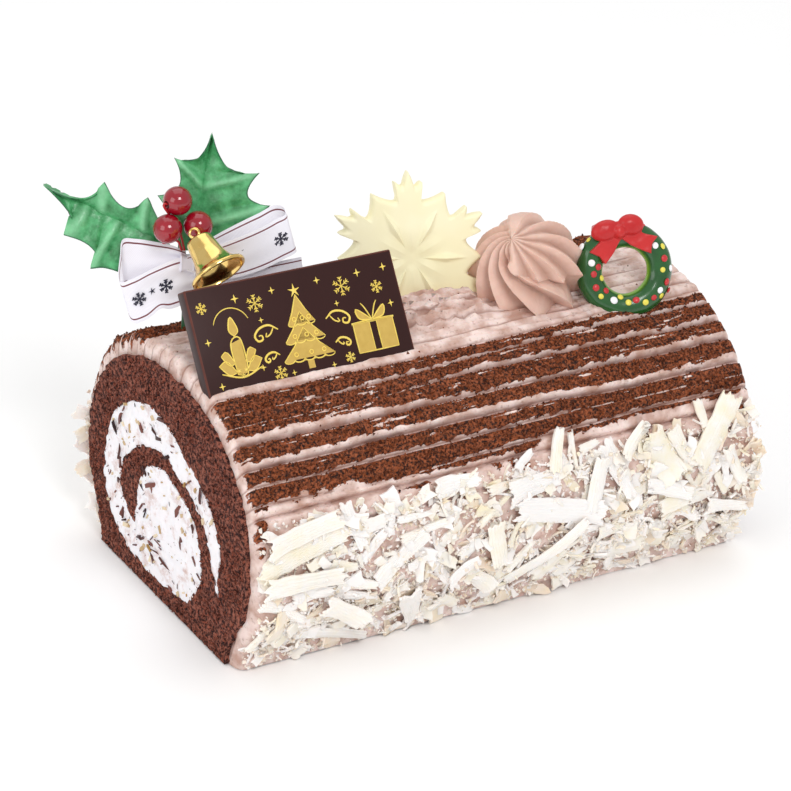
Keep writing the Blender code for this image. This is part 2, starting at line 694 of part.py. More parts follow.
def main():
    clear_scene()
    cream = material("milk chocolate cream", (0.62, 0.42, 0.33), 0.7)
    cake = material("chocolate sponge", (0.11, 0.03, 0.02), 0.9)
    white_cream = material("white cream", (0.9, 0.86, 0.8), 0.6)
    dark_chocolate = material("dark chocolate", (0.035, 0.012, 0.01), 0.35)
    white_chocolate = material("white chocolate", (0.88, 0.82, 0.6), 0.45)
    green_chocolate = material("green chocolate", (0.03, 0.16, 0.03), 0.35)
    red_chocolate = material("red chocolate", (0.6, 0.03, 0.02), 0.35)
    leaf_cloth = material("coated leaf cloth", (0.02, 0.28, 0.1), 0.45)
    red_bead = material("red bead", (0.45, 0.005, 0.015), 0.15)
    gold = material("gold plated tin", (0.9, 0.6, 0.2), 0.15, 1.0)
    white_ribbon = material("white ribbon", (0.85, 0.84, 0.9), 0.8)
    green_plastic = material("green plastic", (0.02, 0.12, 0.04), 0.4)
    red_wire = material("red wire", (0.5, 0.02, 0.02), 0.4)

    sponge = build_sponge(cake)
    build_filling(white_cream)
    coat = build_coat(cream)
    build_plaque(dark_chocolate, coat)
    rosette = build_rosette(cream)
    build_snowflake(white_chocolate, coat, rosette)
    build_wreath(green_chocolate, red_chocolate, coat)
    build_leaves(leaf_cloth)
    build_berries(red_bead, red_wire)
    build_bell(gold)
    build_ribbon(white_ribbon)
    build_stake(green_plastic, coat, sponge)
    build_shavings(white_chocolate)


main()
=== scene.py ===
"""The looks of a yule log cake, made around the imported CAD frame.

Shapes are drawn in millimetres; finished() turns each one into an object in metres, in its place.
X runs along the log, -Y is its front and +Z is up. The origin is the centre of the flat underside.
"""

import json
import math
import random

import bmesh
import bpy
import numpy as np
from mathutils import Matrix, Vector, noise

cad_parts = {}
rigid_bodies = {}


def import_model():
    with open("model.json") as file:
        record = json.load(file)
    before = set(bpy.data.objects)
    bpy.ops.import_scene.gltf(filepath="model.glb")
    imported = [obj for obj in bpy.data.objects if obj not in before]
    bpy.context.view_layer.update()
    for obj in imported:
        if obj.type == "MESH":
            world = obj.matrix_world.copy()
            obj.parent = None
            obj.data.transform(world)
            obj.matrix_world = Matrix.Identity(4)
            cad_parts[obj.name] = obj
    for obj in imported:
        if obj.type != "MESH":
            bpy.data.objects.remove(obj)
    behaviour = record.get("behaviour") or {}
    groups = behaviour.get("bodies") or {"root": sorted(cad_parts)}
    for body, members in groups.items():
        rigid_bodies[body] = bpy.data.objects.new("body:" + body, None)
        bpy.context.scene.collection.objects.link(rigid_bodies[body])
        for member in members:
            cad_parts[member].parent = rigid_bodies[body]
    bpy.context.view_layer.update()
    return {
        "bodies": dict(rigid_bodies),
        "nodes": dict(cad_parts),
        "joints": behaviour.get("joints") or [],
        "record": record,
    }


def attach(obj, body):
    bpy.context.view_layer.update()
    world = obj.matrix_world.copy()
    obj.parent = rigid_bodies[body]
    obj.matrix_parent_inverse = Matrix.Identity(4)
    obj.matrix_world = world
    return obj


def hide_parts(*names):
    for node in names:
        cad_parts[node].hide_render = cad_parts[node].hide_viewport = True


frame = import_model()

MM = 0.001

# The roll, as the CAD model draws it
SPONGE_LEFT = -81.75
SPONGE_RIGHT = 80.0
SPONGE_HALF_WIDTH = 44.0
SPONGE_FOOT_HALF = 35.0
SPONGE_HEIGHT = 67.3
WAIST_HEIGHT = 25.0
ROUNDNESS = 2.3
EYE_HEIGHT = 31.0
RIGHT_END_LEAN = 3.0
COAT_THICK = 5.0
COAT_LEFT = -80.5
COAT_RIGHT = 79.25
END_ROUND = 2.6
RIDGE_DEPTH = 2.2
RIDGE_FROM_HEIGHT = 30.0

# The spiral at the cut: (angle, share of the way from the eye to the outline)
OUTER_TURN = (
    (-58, 0.77), (-100, 0.84), (-136, 0.75), (-166, 0.80), (-205, 0.75), (-242, 0.68),
    (-268, 0.62), (-296, 0.54), (-326, 0.58), (-355, 0.69), (-375, 0.70), (-384, 0.77),
)
STRIP_OUTSIDE = (
    (-376, 0.64), (-352, 0.49), (-329, 0.37), (-294, 0.32), (-254, 0.36), (-207, 0.42),
    (-180, 0.54), (-163, 0.59), (-149, 0.56), (-138, 0.49),
)
STRIP_INSIDE = (
    (-148, 0.41), (-170, 0.33), (-205, 0.27), (-259, 0.23), (-288, 0.21), (-324, 0.24),
    (-355, 0.39), (-387, 0.55), (-405, 0.60),
)


# ---------------------------------------------------------------- outlines of the roll


def length_of(points):
    return float(np.linalg.norm(np.diff(points, axis=0), axis=1).sum())


def at_marks(points, marks):
    """The points of a polyline at the given distances along it."""
    points = np.asarray(points, dtype=float)
    run = np.concatenate([[0.0], np.cumsum(np.linalg.norm(np.diff(points, axis=0), axis=1))])
    return np.column_stack([np.interp(marks, run, points[:, i]) for i in range(points.shape[1])])


def arch(grow):
    """The roll's outline in (y, z), from the front foot over the top to the back foot."""
    turn = np.linspace(0.0, math.pi, 361)
    power = 2 / ROUNDNESS
    half = SPONGE_HALF_WIDTH + grow
    rise = SPONGE_HEIGHT - WAIST_HEIGHT + grow
    top_y = -half * np.sign(np.cos(turn)) * np.abs(np.cos(turn)) ** power
    top_z = WAIST_HEIGHT + rise * np.abs(np.sin(turn)) ** power
    low_z = np.linspace(0.0, WAIST_HEIGHT, 40, endpoint=False)
    swell = 0.5 + 0.5 * np.cos(math.pi * (WAIST_HEIGHT - low_z) / WAIST_HEIGHT)
    low_y = SPONGE_FOOT_HALF + grow + (SPONGE_HALF_WIDTH - SPONGE_FOOT_HALF) * swell
    y = np.concatenate([-low_y, top_y, low_y[::-1]])
    z = np.concatenate([low_z, top_z, low_z[::-1]])
    return np.column_stack([y, z])


def outward(points):
    """Unit normals along an arch, pointing away from the roll."""
    along = np.gradient(points, axis=0)
    normal = np.column_stack([-along[:, 1], along[:, 0]])
    return normal / np.linalg.norm(normal, axis=1)[:, None]


def eye_polar(angle, share):
    """The point in (y, z) at this angle about the eye, at this share of the way to the outline."""
    edge = arch(0.0)
    base = np.column_stack([np.linspace(SPONGE_FOOT_HALF, -SPONGE_FOOT_HALF, 30)[1:-1], np.zeros(28)])
    edge = np.concatenate([edge, base])
    angles = np.degrees(np.arctan2(edge[:, 1] - EYE_HEIGHT, -edge[:, 0]))
    radii = np.hypot(edge[:, 0], edge[:, 1] - EYE_HEIGHT)
    order = np.argsort(angles)
    reach = share * np.interp((angle + 180) % 360 - 180, angles[order], radii[order], period=360)
    turn = math.radians(angle)
    return (-reach * math.cos(turn), EYE_HEIGHT + reach * math.sin(turn))


def curve_through(points, spacing):
    """A smooth open curve through the points, at even steps."""
    points = np.asarray(points, dtype=float)
    padded = np.concatenate([[2 * points[0] - points[1]], points, [2 * points[-1] - points[-2]]])
    fine = []
    for a, b, c, d in zip(padded, padded[1:], padded[2:], padded[3:]):
        for t in np.linspace(0.0, 1.0, 16, endpoint=False):
            pull = -a + 3 * b - 3 * c + d
            fine.append(0.5 * (2 * b + (c - a) * t + (2 * a - 5 * b + 4 * c - d) * t**2 + pull * t**3))
    fine.append(points[-1])
    total = length_of(fine)
    return at_marks(fine, np.linspace(0.0, total, max(2, round(total / spacing) + 1)))


def spiral_loop():
    """The closed outline of the filling, round the outer turn and in between the inner strip's sides."""
    stretches = (OUTER_TURN, STRIP_OUTSIDE, STRIP_INSIDE)
    curves = [curve_through([eye_polar(a, s) for a, s in stretch], 1.0) for stretch in stretches]
    return np.concatenate(curves)


def roll_loop(grow=0.0):
    """The sponge's outer outline as one closed loop."""
    outline = arch(grow)
    outline = at_marks(outline, np.linspace(0.0, length_of(outline), 240))
    base = np.column_stack([np.linspace(outline[-1, 0], outline[0, 0], 60)[1:-1], np.zeros(58)])
    return np.concatenate([outline, base])


def inside(points, loop):
    """Which of the points lie inside a closed loop."""
    found = np.zeros(len(points), dtype=bool)
    for (ax, ay), (bx, by) in zip(loop, np.roll(loop, -1, axis=0)):
        crosses = (ay > points[:, 1]) != (by > points[:, 1])
        at = ax + (points[:, 1] - ay) * (bx - ax) / (by - ay if by != ay else 1e-9)
        found ^= crosses & (points[:, 0] < at)
    return found


def nearest(points, loop):
    """For each point, the nearest point of a closed loop."""
    starts = loop
    steps = np.roll(loop, -1, axis=0) - loop
    share = ((points[:, None] - starts) * steps).sum(2) / np.maximum((steps**2).sum(1), 1e-9)
    spots = starts + np.clip(share, 0, 1)[..., None] * steps
    gaps = np.linalg.norm(points[:, None] - spots, axis=2)
    return spots[np.arange(len(points)), gaps.argmin(1)]


# ---------------------------------------------------------------- noise


def rough(points, size, seed, octaves=3):
    """Smooth seeded noise from about -1 to 1, with features about this size in millimetres."""
    shift = Vector((17.3 * seed, 5.1 * seed, -9.7 * seed))
    return np.array([
        noise.fractal(Vector(point) / size + shift, 1.0, 2.0, octaves) for point in points
    ])


def smooth_step(low, high, values):
    share = np.clip((values - low) / (high - low), 0.0, 1.0)
    return share * share * (3 - 2 * share)


# ---------------------------------------------------------------- shapes and pieces


def places_of(shape):
    return np.array([vert.co for vert in shape.verts])


def move_to(shape, points):
    for vert, point in zip(shape.verts, points):
        vert.co = point


def unit_grid(across, along):
    """A flat grid, and its corners' shares from 0 to 1 in both directions."""
    shape = bmesh.new()
    bmesh.ops.create_grid(shape, x_segments=across, y_segments=along, size=0.5)
    return shape, places_of(shape)[:, :2] + 0.5


def thickened(shape, thickness):
    """Gives a sheet its other side, straight back along its own normals."""
    shape.normal_update()
    away = shape.verts.layers.float_vector.new("away")
    for vert in shape.verts:
        vert[away] = vert.normal * thickness
    grown = bmesh.ops.extrude_face_region(shape, geom=shape.faces[:], use_keep_orig=True)["geom"]
    for vert in grown:
        if isinstance(vert, bmesh.types.BMVert):
            vert.co -= vert[away]
    shape.verts.layers.float_vector.remove(away)
    return shape


def finished(name, shape, looks, replaces=(), place=None, sharp=40.0, closed=True):
    """One piece from a bmesh drawn in millimetres: its place goes into its mesh, in metres."""
    if place is not None:
        bmesh.ops.transform(shape, matrix=place, verts=shape.verts)
    bmesh.ops.scale(shape, vec=(MM, MM, MM), verts=shape.verts)
    if closed:
        bmesh.ops.recalc_face_normals(shape, faces=shape.faces)
    mesh = bpy.data.meshes.new(name)
    shape.to_mesh(mesh)
    shape.free()
    return placed(name, mesh, looks, replaces, sharp)


def placed(name, mesh, looks, replaces=(), sharp=40.0):
    """Puts a finished mesh in the scene, on the cake's one body."""
    mesh.shade_smooth()
    mesh.set_sharp_from_angle(angle=math.radians(sharp))
    for look in looks:
        mesh.materials.append(look)
    piece = bpy.data.objects.new(name, mesh)
    bpy.context.scene.collection.objects.link(piece)
    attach(piece, "root")
    if replaces:
        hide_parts(*replaces)
    return piece


def paint(mesh, name, values):
    """Stores one number for each corner point of a mesh, for its material to read."""
    layer = mesh.attributes.new(name, "FLOAT", "POINT")
    layer.data.foreach_set("value", np.asarray(values, dtype=np.float32))


# ---------------------------------------------------------------- materials


def linear(code):
    """An sRGB hex value as a linear colour."""
    parts = [int(code[i:i + 2], 16) / 255 for i in (1, 3, 5)]
    return [p / 12.92 if p <= 0.04045 else ((p + 0.055) / 1.055) ** 2.4 for p in parts] + [1.0]


def per_mm(size):
    """The texture scale at which a feature is about this many millimetres across."""
    return 1 / (size * MM)


def new_material(name, roughness, **shader_values):
    """A material with its shader's constants set. Returns it, its tree, its shader and Object coordinates."""
    made = bpy.data.materials.new(name)
    made.use_nodes = True
    tree = made.node_tree
    shader = tree.nodes["Principled BSDF"]
    shader.inputs["Roughness"].default_value = roughness
    for key, value in shader_values.items():
        shader.inputs[key.replace("_", " ")].default_value = value
    spot = add(tree, "ShaderNodeTexCoord").outputs["Object"]
    return made, tree, shader, spot


def add(tree, kind, inputs=None, **settings):
    """Adds a node, with its settings and with a value or a link for each input named."""
    node = tree.nodes.new(kind)
    for key, value in settings.items():
        setattr(node, key, value)
    for key, value in (inputs or {}).items():
        if isinstance(value, bpy.types.NodeSocket):
            tree.links.new(value, node.inputs[key])
        else:
            node.inputs[key].default_value = value
    return node


def cream_material():
    """Milk chocolate whipped cream with sifted cocoa: pale and soft, with a dry granular brown on top, and painted
    shade in its pits, between the cocoa grains and along the bottoms of the comb's grooves.
    """
    made, tree, shader, spot = new_material("milk chocolate cream and cocoa", 0.62)
    shader.inputs["Subsurface Weight"].default_value = 0.15
    shader.inputs["Subsurface Radius"].default_value = (0.8, 0.35, 0.2)
    shader.inputs["Subsurface Scale"].default_value = 2 * MM
    cloudy = add(tree, "ShaderNodeTexNoise", {"Vector": spot, "Scale": per_mm(5), "Detail": 5.0})
    varied = add(tree, "ShaderNodeMapRange", {"Value": cloudy.outputs["Fac"], "From Min": 0.34, "From Max": 0.62})
    bubbles = add(tree, "ShaderNodeTexNoise", {"Vector": spot, "Scale": per_mm(1.1), "Detail": 5.0})
    grains = add(tree, "ShaderNodeTexNoise", {"Vector": spot, "Scale": per_mm(0.75), "Detail": 4.0})
    cream = add(tree, "ShaderNodeMix", {
        0: varied.outputs[0], 6: linear("#c09a8b"), 7: linear("#efdad3"),
    }, data_type="RGBA")
    # painted shade: where the bubble noise is low, which the bump also sinks, the cream is darkened as the shade inside
    # small pits
    pit_shade = add(tree, "ShaderNodeMapRange", {
        "Value": bubbles.outputs["Fac"], "From Min": 0.3, "From Max": 0.42, "To Min": 0.55, "To Max": 0.0,
    })
    cream = add(tree, "ShaderNodeMix", {
        0: pit_shade.outputs[0], 6: cream.outputs[2], 7: linear("#a27a68"),
    }, data_type="RGBA")
    cocoa = add(tree, "ShaderNodeMapRange", {
        "Value": grains.outputs["Fac"], "From Min": 0.4, "From Max": 0.62, "To Min": 0.0, "To Max": 1.0,
    })
    # partly the cocoa's own brown and partly painted shade: where the grain noise is low, which the bump also sinks,
    # the cocoa goes near black as shade between grains
    cocoa_with_grain_shade = add(tree, "ShaderNodeMix", {
        0: cocoa.outputs[0], 6: linear("#220b05"), 7: linear("#9c5330"),
    }, data_type="RGBA")
    dust = add(tree, "ShaderNodeAttribute", attribute_name="cocoa").outputs["Fac"]
    spread = add(tree, "ShaderNodeMath", {0: dust, 1: grains.outputs["Fac"]}, operation="ADD")
    edge = add(tree, "ShaderNodeMapRange", {
        "Value": spread.outputs[0], "From Min": 0.90, "From Max": 1.04, "To Min": 0.0, "To Max": 1.0,
    })
    colour = add(tree, "ShaderNodeMix", {
        0: edge.outputs[0], 6: cream.outputs[2], 7: cocoa_with_grain_shade.outputs[2],
    }, data_type="RGBA")
    # painted shade: the cream is darkened towards a deep brown along the bottoms of the comb's grooves
    crease_shade = add(tree, "ShaderNodeAttribute", attribute_name="crease_shade").outputs["Fac"]
    shaded = add(tree, "ShaderNodeMix", {
        0: crease_shade, 6: colour.outputs[2], 7: linear("#8a5a4a"),
    }, data_type="RGBA")
    tree.links.new(shaded.outputs[2], shader.inputs["Base Color"])
    dryness = add(tree, "ShaderNodeMapRange", {"Value": edge.outputs[0], "To Min": 0.58, "To Max": 0.95})
    tree.links.new(dryness.outputs[0], shader.inputs["Roughness"])
    grit = add(tree, "ShaderNodeMath", {0: edge.outputs[0], 1: grains.outputs["Fac"]}, operation="MULTIPLY")
    fine = add(tree, "ShaderNodeMath", {0: bubbles.outputs["Fac"], 1: 0.25}, operation="MULTIPLY")
    height = add(tree, "ShaderNodeMath", {0: grit.outputs[0], 1: fine.outputs[0]}, operation="ADD")
    bump = add(tree, "ShaderNodeBump", {"Height": height.outputs[0], "Strength": 0.9, "Distance": 0.35 * MM})
    tree.links.new(bump.outputs[0], shader.inputs["Normal"])
    return made


def sponge_material():
    """Baked chocolate sponge, cut with a knife: matt, dark reddish brown, full of small pores, with painted shade in
    the pores and between the crumbs.
    """
    made, tree, shader, spot = new_material("chocolate sponge", 0.93)
    shader.inputs["Specular IOR Level"].default_value = 0.25
    crumb = add(tree, "ShaderNodeTexNoise", {"Vector": spot, "Scale": per_mm(1.2), "Detail": 5.0, "Roughness": 0.75})
    broad = add(tree, "ShaderNodeTexNoise", {"Vector": spot, "Scale": per_mm(9), "Detail": 3.0})
    pores = add(tree, "ShaderNodeTexVoronoi", {"Vector": spot, "Scale": per_mm(1.35)})
    # partly the crumb's own uneven brown and partly painted light and shade: the crumb noise is also the bump's height,
    # so high crumbs are painted light and low ones near black
    lit = add(tree, "ShaderNodeMapRange", {"Value": crumb.outputs["Fac"], "From Min": 0.44, "From Max": 0.57})
    brown = add(tree, "ShaderNodeMix", {
        0: lit.outputs[0], 6: linear("#1d0705"), 7: linear("#a2624f"),
    }, data_type="RGBA")
    brown_cool = add(tree, "ShaderNodeMix", {0: 0.35, 6: brown.outputs[2], 7: linear("#5c3434")}, data_type="RGBA")
    cooler = add(tree, "ShaderNodeMix", {
        0: broad.outputs["Fac"], 6: brown.outputs[2], 7: brown_cool.outputs[2],
    }, data_type="RGBA")
    # painted shade: the pores, which the bump sinks, are painted near black
    hole = add(tree, "ShaderNodeMapRange", {
        "Value": pores.outputs["Distance"], "From Min": 0.12, "From Max": 0.32, "To Min": 1.0, "To Max": 0.0,
    })
    colour = add(tree, "ShaderNodeMix", {
        0: hole.outputs[0], 6: cooler.outputs[2], 7: linear("#1c0907"),
    }, data_type="RGBA")
    tree.links.new(colour.outputs[2], shader.inputs["Base Color"])
    deep = add(tree, "ShaderNodeMath", {0: crumb.outputs["Fac"], 1: hole.outputs[0]}, operation="SUBTRACT")
    bump = add(tree, "ShaderNodeBump", {"Height": deep.outputs[0], "Strength": 1.0, "Distance": 0.4 * MM})
    tree.links.new(bump.outputs[0], shader.inputs["Normal"])
    return made


def filling_material():
    """Fresh whipped cream: bright white, soft and faintly glossy, smeared with crumb colour in places."""
    made, tree, shader, spot = new_material("whipped cream filling", 0.5)
    shader.inputs["Subsurface Weight"].default_value = 0.3
    shader.inputs["Subsurface Radius"].default_value = (1.0, 0.8, 0.7)
    shader.inputs["Subsurface Scale"].default_value = 2 * MM
    smear = add(tree, "ShaderNodeTexNoise", {
        "Vector": spot, "Scale": per_mm(5), "Detail": 6.0, "Roughness": 0.7,
    })
    stained = add(tree, "ShaderNodeMapRange", {
        "Value": smear.outputs["Fac"], "From Min": 0.52, "From Max": 0.68, "To Min": 0.0, "To Max": 0.85,
    })
    colour = add(tree, "ShaderNodeMix", {
        0: stained.outputs[0], 6: linear("#f8f4f8"), 7: linear("#c9a79c"),
    }, data_type="RGBA")
    tree.links.new(colour.outputs[2], shader.inputs["Base Color"])
    soft = add(tree, "ShaderNodeTexNoise", {"Vector": spot, "Scale": per_mm(1.8), "Detail": 4.0})
    bump = add(tree, "ShaderNodeBump", {"Height": soft.outputs["Fac"], "Strength": 0.5, "Distance": 0.4 * MM})
    tree.links.new(bump.outputs[0], shader.inputs["Normal"])
    return made


# ---------------------------------------------------------------- the coat of cream


COAT_STEPS = (146, 640)  # along the log, and round it
COMBED_TOP = (-19.4, 18.0)  # between these the top is bare and only faintly combed
COCOA_LOW = 51.0
# The comb's grooves as distances round the coat from its top, at five places along the log,
# and how wide the bare cream is along each
GROOVE_MARKS = (-80.0, -40.0, 0.0, 40.0, 75.0)
GROOVES = (
    (-9.0, -9.0, -9.0, -9.0, -9.0), (4.0, 3.6, 4.2, 3.5, 4.0), (9.5, 9.0, 9.8, 9.2, 9.0), (14.4, 14.0, 14.5, 14.2, 13.8),
    (19.6, 19.5, 19.5, 18.9, 18.5), (25.0, 25.2, 23.3, 22.5, 22.9), (28.8, 29.5, 27.9, 28.5, 29.5),
    (34.1, 34.6, 35.1, 34.9, 35.4), (41.1, 41.1, 41.0, 42.3, 42.4), (45.7, 45.9, 45.5, 45.8, 46.5),
    (51.0, 52.0, 50.6, 49.6, 50.0), (54.6, 54.3, 54.2, 54.5, 54.5), (61.0, 61.0, 61.0, 61.0, 61.0),
    (150.0, 150.0, 150.0, 150.0, 150.0),
)
BARE_WIDTHS = (
    (0.0, 0.0, 0.0, 0.0, 0.0), (0.6, 0.6, 0.6, 0.6, 0.6), (0.6, 0.6, 0.6, 0.6, 0.6), (0.8, 0.6, 0.6, 0.6, 0.6),
    (1.0, 1.0, 1.0, 1.0, 1.0), (-1.0, 0.5, 0.7, 1.2, 1.1), (-1.0, -0.8, 1.4, 0.9, 1.6),
    (2.4, 2.5, 0.5, 1.6, 1.9), (2.1, 2.0, 2.0, 2.0, 2.0), (0.3, 0.7, 0.8, -0.8, -1.0),
    (0.9, -0.6, 0.9, 0.6, 0.6), (3.0, 2.4, 1.4, 4.2, 3.4), (1.0, 1.0, 1.0, 1.0, 1.0),
    (0.0, 0.0, 0.0, 0.0, 0.0),
)

OUTSIDE = arch(COAT_THICK)
OUTSIDE_RUN = np.concatenate([[0.0], np.cumsum(np.linalg.norm(np.diff(OUTSIDE, axis=0), axis=1))])
OUTSIDE_NORMAL = outward(OUTSIDE)
OUTSIDE_LENGTH = float(OUTSIDE_RUN[-1])


def on_coat(x, run, out):
    """Places beside the coat: x along it, run round it from its front foot, and out from it."""
    x, run, out = (np.asarray(value, dtype=float) for value in (x, run, out))
    spots = [np.interp(run, OUTSIDE_RUN, OUTSIDE[:, i]) for i in range(2)]
    sides = [np.interp(run, OUTSIDE_RUN, OUTSIDE_NORMAL[:, i]) for i in range(2)]
    y = spots[0] + out * sides[0]
    z = spots[1] + out * sides[1]
    lean = np.where(x > 0.5 * SPONGE_RIGHT, RIGHT_END_LEAN * z / SPONGE_HEIGHT, 0.0)
    return np.stack([x - lean, y, z], axis=-1)


def band_of(x, run):
    """Where a place lies among the comb's grooves.

    Returns how far it is below the groove above it and above the groove below it, in millimetres,
    and how wide the bare cream is along each of the two grooves.
    """
    from_top = np.abs(run - OUTSIDE_LENGTH / 2)
    at = np.where(run < OUTSIDE_LENGTH / 2, x, -0.8 * x)
    shake = 0.22 * rough(np.column_stack([x, from_top, 0 * x]), 5.0, 2, 3)
    lines, widths = [], []
    for number, (line, width) in enumerate(zip(GROOVES, BARE_WIDTHS)):
        waver = 0.45 * rough(np.column_stack([x, 40.0 * number + 0 * x, np.sign(run - 104)]), 22.0, 1, 2)
        lines.append(np.interp(at, GROOVE_MARKS, line) + waver)
        widths.append(np.interp(at, GROOVE_MARKS, width))
    lines, widths = np.array(lines), np.array(widths)
    above = np.clip((lines <= from_top + shake).sum(0) - 1, 0, len(lines) - 2)
    pick = np.arange(len(x))
    below_upper = from_top + shake - lines[above, pick]
    above_lower = lines[above + 1, pick] - from_top - shake
    return below_upper, above_lower, widths[above, pick], widths[above + 1, pick]


def comb_lines(x, run, y, z):
    """How deep the comb's grooves are, from 0 to 1. Each ridge swells downwards and is undercut at its lip."""
    below_upper, above_lower, upper_width, lower_width = band_of(x, run)
    lip = np.clip(1 - above_lower / 1.7, 0, 1) ** 1.4 * np.clip(0.35 + 0.45 * lower_width, 0.3, 1)
    start = (1 - smooth_step(0.0, 0.7, below_upper)) * np.clip(0.35 + 0.45 * upper_width, 0.3, 1)
    combed = smooth_step(RIDGE_FROM_HEIGHT, RIDGE_FROM_HEIGHT + 6, z)
    bare = smooth_step(COMBED_TOP[0] - 3, COMBED_TOP[0] + 1, y) * (1 - smooth_step(
        COMBED_TOP[1] - 3, COMBED_TOP[1] + 1, y))
    return np.maximum(lip, start) * combed * (1 - 0.6 * bare)


def cream_relief(x, run, y, groove):
    """How far the cream stands out from its even outline, in millimetres."""
    spots = np.column_stack([x, run, 0 * x])
    lumps = rough(spots, 14.0, 4, 3)
    fine = rough(spots, 2.2, 5, 3)
    stretched = rough(np.column_stack([x / 14, run, 0 * x]), 1.3, 6, 2)
    top = smooth_step(COMBED_TOP[0], COMBED_TOP[0] + 4, y)
    flake_foot = smooth_step(-20, -14, x) * (1 - smooth_step(9, 14, x))
    flake_foot = flake_foot * smooth_step(-12, -8, y) * (1 - smooth_step(4, 9, y))
    folds = 1 - np.abs(rough(np.column_stack([x / 3, run + 0.1 * x, 0 * x]), 3.2, 7, 2)) * 2.2
    behind = smooth_step(20, 28, y)
    return (
        0.35 * lumps + 0.14 * fine + stretched * (0.1 + 0.65 * top)
        + flake_foot * (0.5 + 2.8 * np.clip(folds, -0.3, 1.0)) - RIDGE_DEPTH * groove
        + behind * (0.6 + 0.9 * rough(np.column_stack([x / 1.8, run, 0 * x]), 4.5, 61, 3))
    )


def cocoa_share(x, run, y, z):
    """How much cocoa lies on the cream, from 0 to 1."""
    spots = np.column_stack([x, run, 0 * x])
    ragged = rough(spots, 2.4, 8, 4)
    patches = rough(np.column_stack([x / 2.5, run, 0 * x]), 5.0, 9, 3)
    streaks = rough(np.column_stack([x / 9, run, 0 * x]), 0.9, 10, 3)
    below_upper, above_lower, _, lower_width = band_of(x, run)
    tops = smooth_step(-0.2, 0.3, above_lower - lower_width + 0.8 * ragged + 0.35 * patches)
    tops = tops * smooth_step(0.0, 0.3, below_upper - 0.1)
    low = COCOA_LOW + 2.5 * patches - 4.0 * (1 - smooth_step(2, 10, x)) * smooth_step(-50, -42, x)
    low = low - 7.0 * smooth_step(14, 24, x) * smooth_step(-0.25, 0.2, patches)
    low = low - 12.0 * (1 - smooth_step(-79, -75, x))
    front = 1 - smooth_step(COMBED_TOP[0] - 0.5, COMBED_TOP[0] + 0.5, y + 0.7 * ragged)
    back = smooth_step(COMBED_TOP[1] - 1.5, COMBED_TOP[1] + 1.5, y + 2.0 * ragged)
    high = smooth_step(low - 1.0, low + 1.0, z + 1.4 * ragged)
    ends = smooth_step(-0.6, 0.5, x - COAT_LEFT - 0.8 - 0.8 * ragged) * smooth_step(
        -0.6, 0.5, COAT_RIGHT - x - 0.6 - 0.6 * ragged)
    thin = smooth_step(0.35, 0.8, patches + 0.3 * ragged)
    scraped = smooth_step(0.38, 0.68, streaks + 0.5 * patches) * smooth_step(52, 58, z)
    return np.clip(tops * (front + back) * high * ends * (1 - 0.2 * thin) * (1 - 0.7 * scraped), 0, 1)


def coat_cream(look):
    """The cream round the sponge: combed on the outside, rounded over at each cut end."""
    outside_share = 0.86
    shape, shares = unit_grid(*COAT_STEPS)
    spread = shares[:, 0] - 0.06 * np.sin(2 * math.pi * shares[:, 0])
    x = COAT_LEFT + spread * (COAT_RIGHT - COAT_LEFT)
    is_outside = shares[:, 1] <= outside_share
    run_share = np.where(is_outside, shares[:, 1] / outside_share, (1 - shares[:, 1]) / (1 - outside_share))
    run = run_share * OUTSIDE_LENGTH
    from_end = np.clip(np.minimum(x - COAT_LEFT, COAT_RIGHT - x) / END_ROUND, 0, 1)
    body = 0.06 + 0.94 * np.sqrt(1 - (1 - from_end) ** 2)
    outer = on_coat(x, run, 0 * x)
    groove = comb_lines(x, run, outer[:, 1], outer[:, 2])
    relief = cream_relief(x, run, outer[:, 1], groove)
    relief = relief * smooth_step(0.0, 6.0, outer[:, 2]) * body
    outer = on_coat(x, run, relief)
    edge = arch(0.1)
    inner_yz = at_marks(edge, run_share * length_of(edge))
    lean = np.where(x > 0.5 * SPONGE_RIGHT, RIGHT_END_LEAN * inner_yz[:, 1] / SPONGE_HEIGHT, 0.0)
    inner = np.column_stack([x - lean, inner_yz])
    thick = np.where(is_outside, body, 0.0)[:, None]
    points = inner + (outer - inner) * thick
    points[:, 2] = np.maximum(points[:, 2], 0.0)
    cocoa = np.where(is_outside, cocoa_share(x, run, outer[:, 1], outer[:, 2]), 0.0)
    move_to(shape, points)
    _, above_lower, _, lower_width = band_of(x, run)
    # painted shade: a dark line along the crevice at the bottom of each comb groove, high on the coat, stored for the
    # cream's material
    crease_shade = smooth_step(0.9, 0.1, above_lower) * (lower_width > 0) * smooth_step(44, 50, outer[:, 2])
    layer = shape.verts.layers.float.new("cocoa")
    crease_shade_layer = shape.verts.layers.float.new("crease_shade")
    for vert, value, dark in zip(shape.verts, cocoa, np.where(is_outside, 0.75 * crease_shade, 0.0)):
        vert[layer] = value
        vert[crease_shade_layer] = dark
    seam = [vert for vert, share in zip(shape.verts, shares[:, 1]) if share < 1e-4 or share > 1 - 1e-4]
    bmesh.ops.remove_doubles(shape, verts=seam, dist=0.15)
    open_edges = [edge for edge in shape.edges if edge.is_boundary]
    caps = bmesh.ops.holes_fill(shape, edges=open_edges, sides=0)["faces"]
    bmesh.ops.triangulate(shape, faces=caps)
    return finished("coat_cream", shape, [look], ["coat"], sharp=70)


# ---------------------------------------------------------------- the cut ends


CUT_PITCH = 0.56


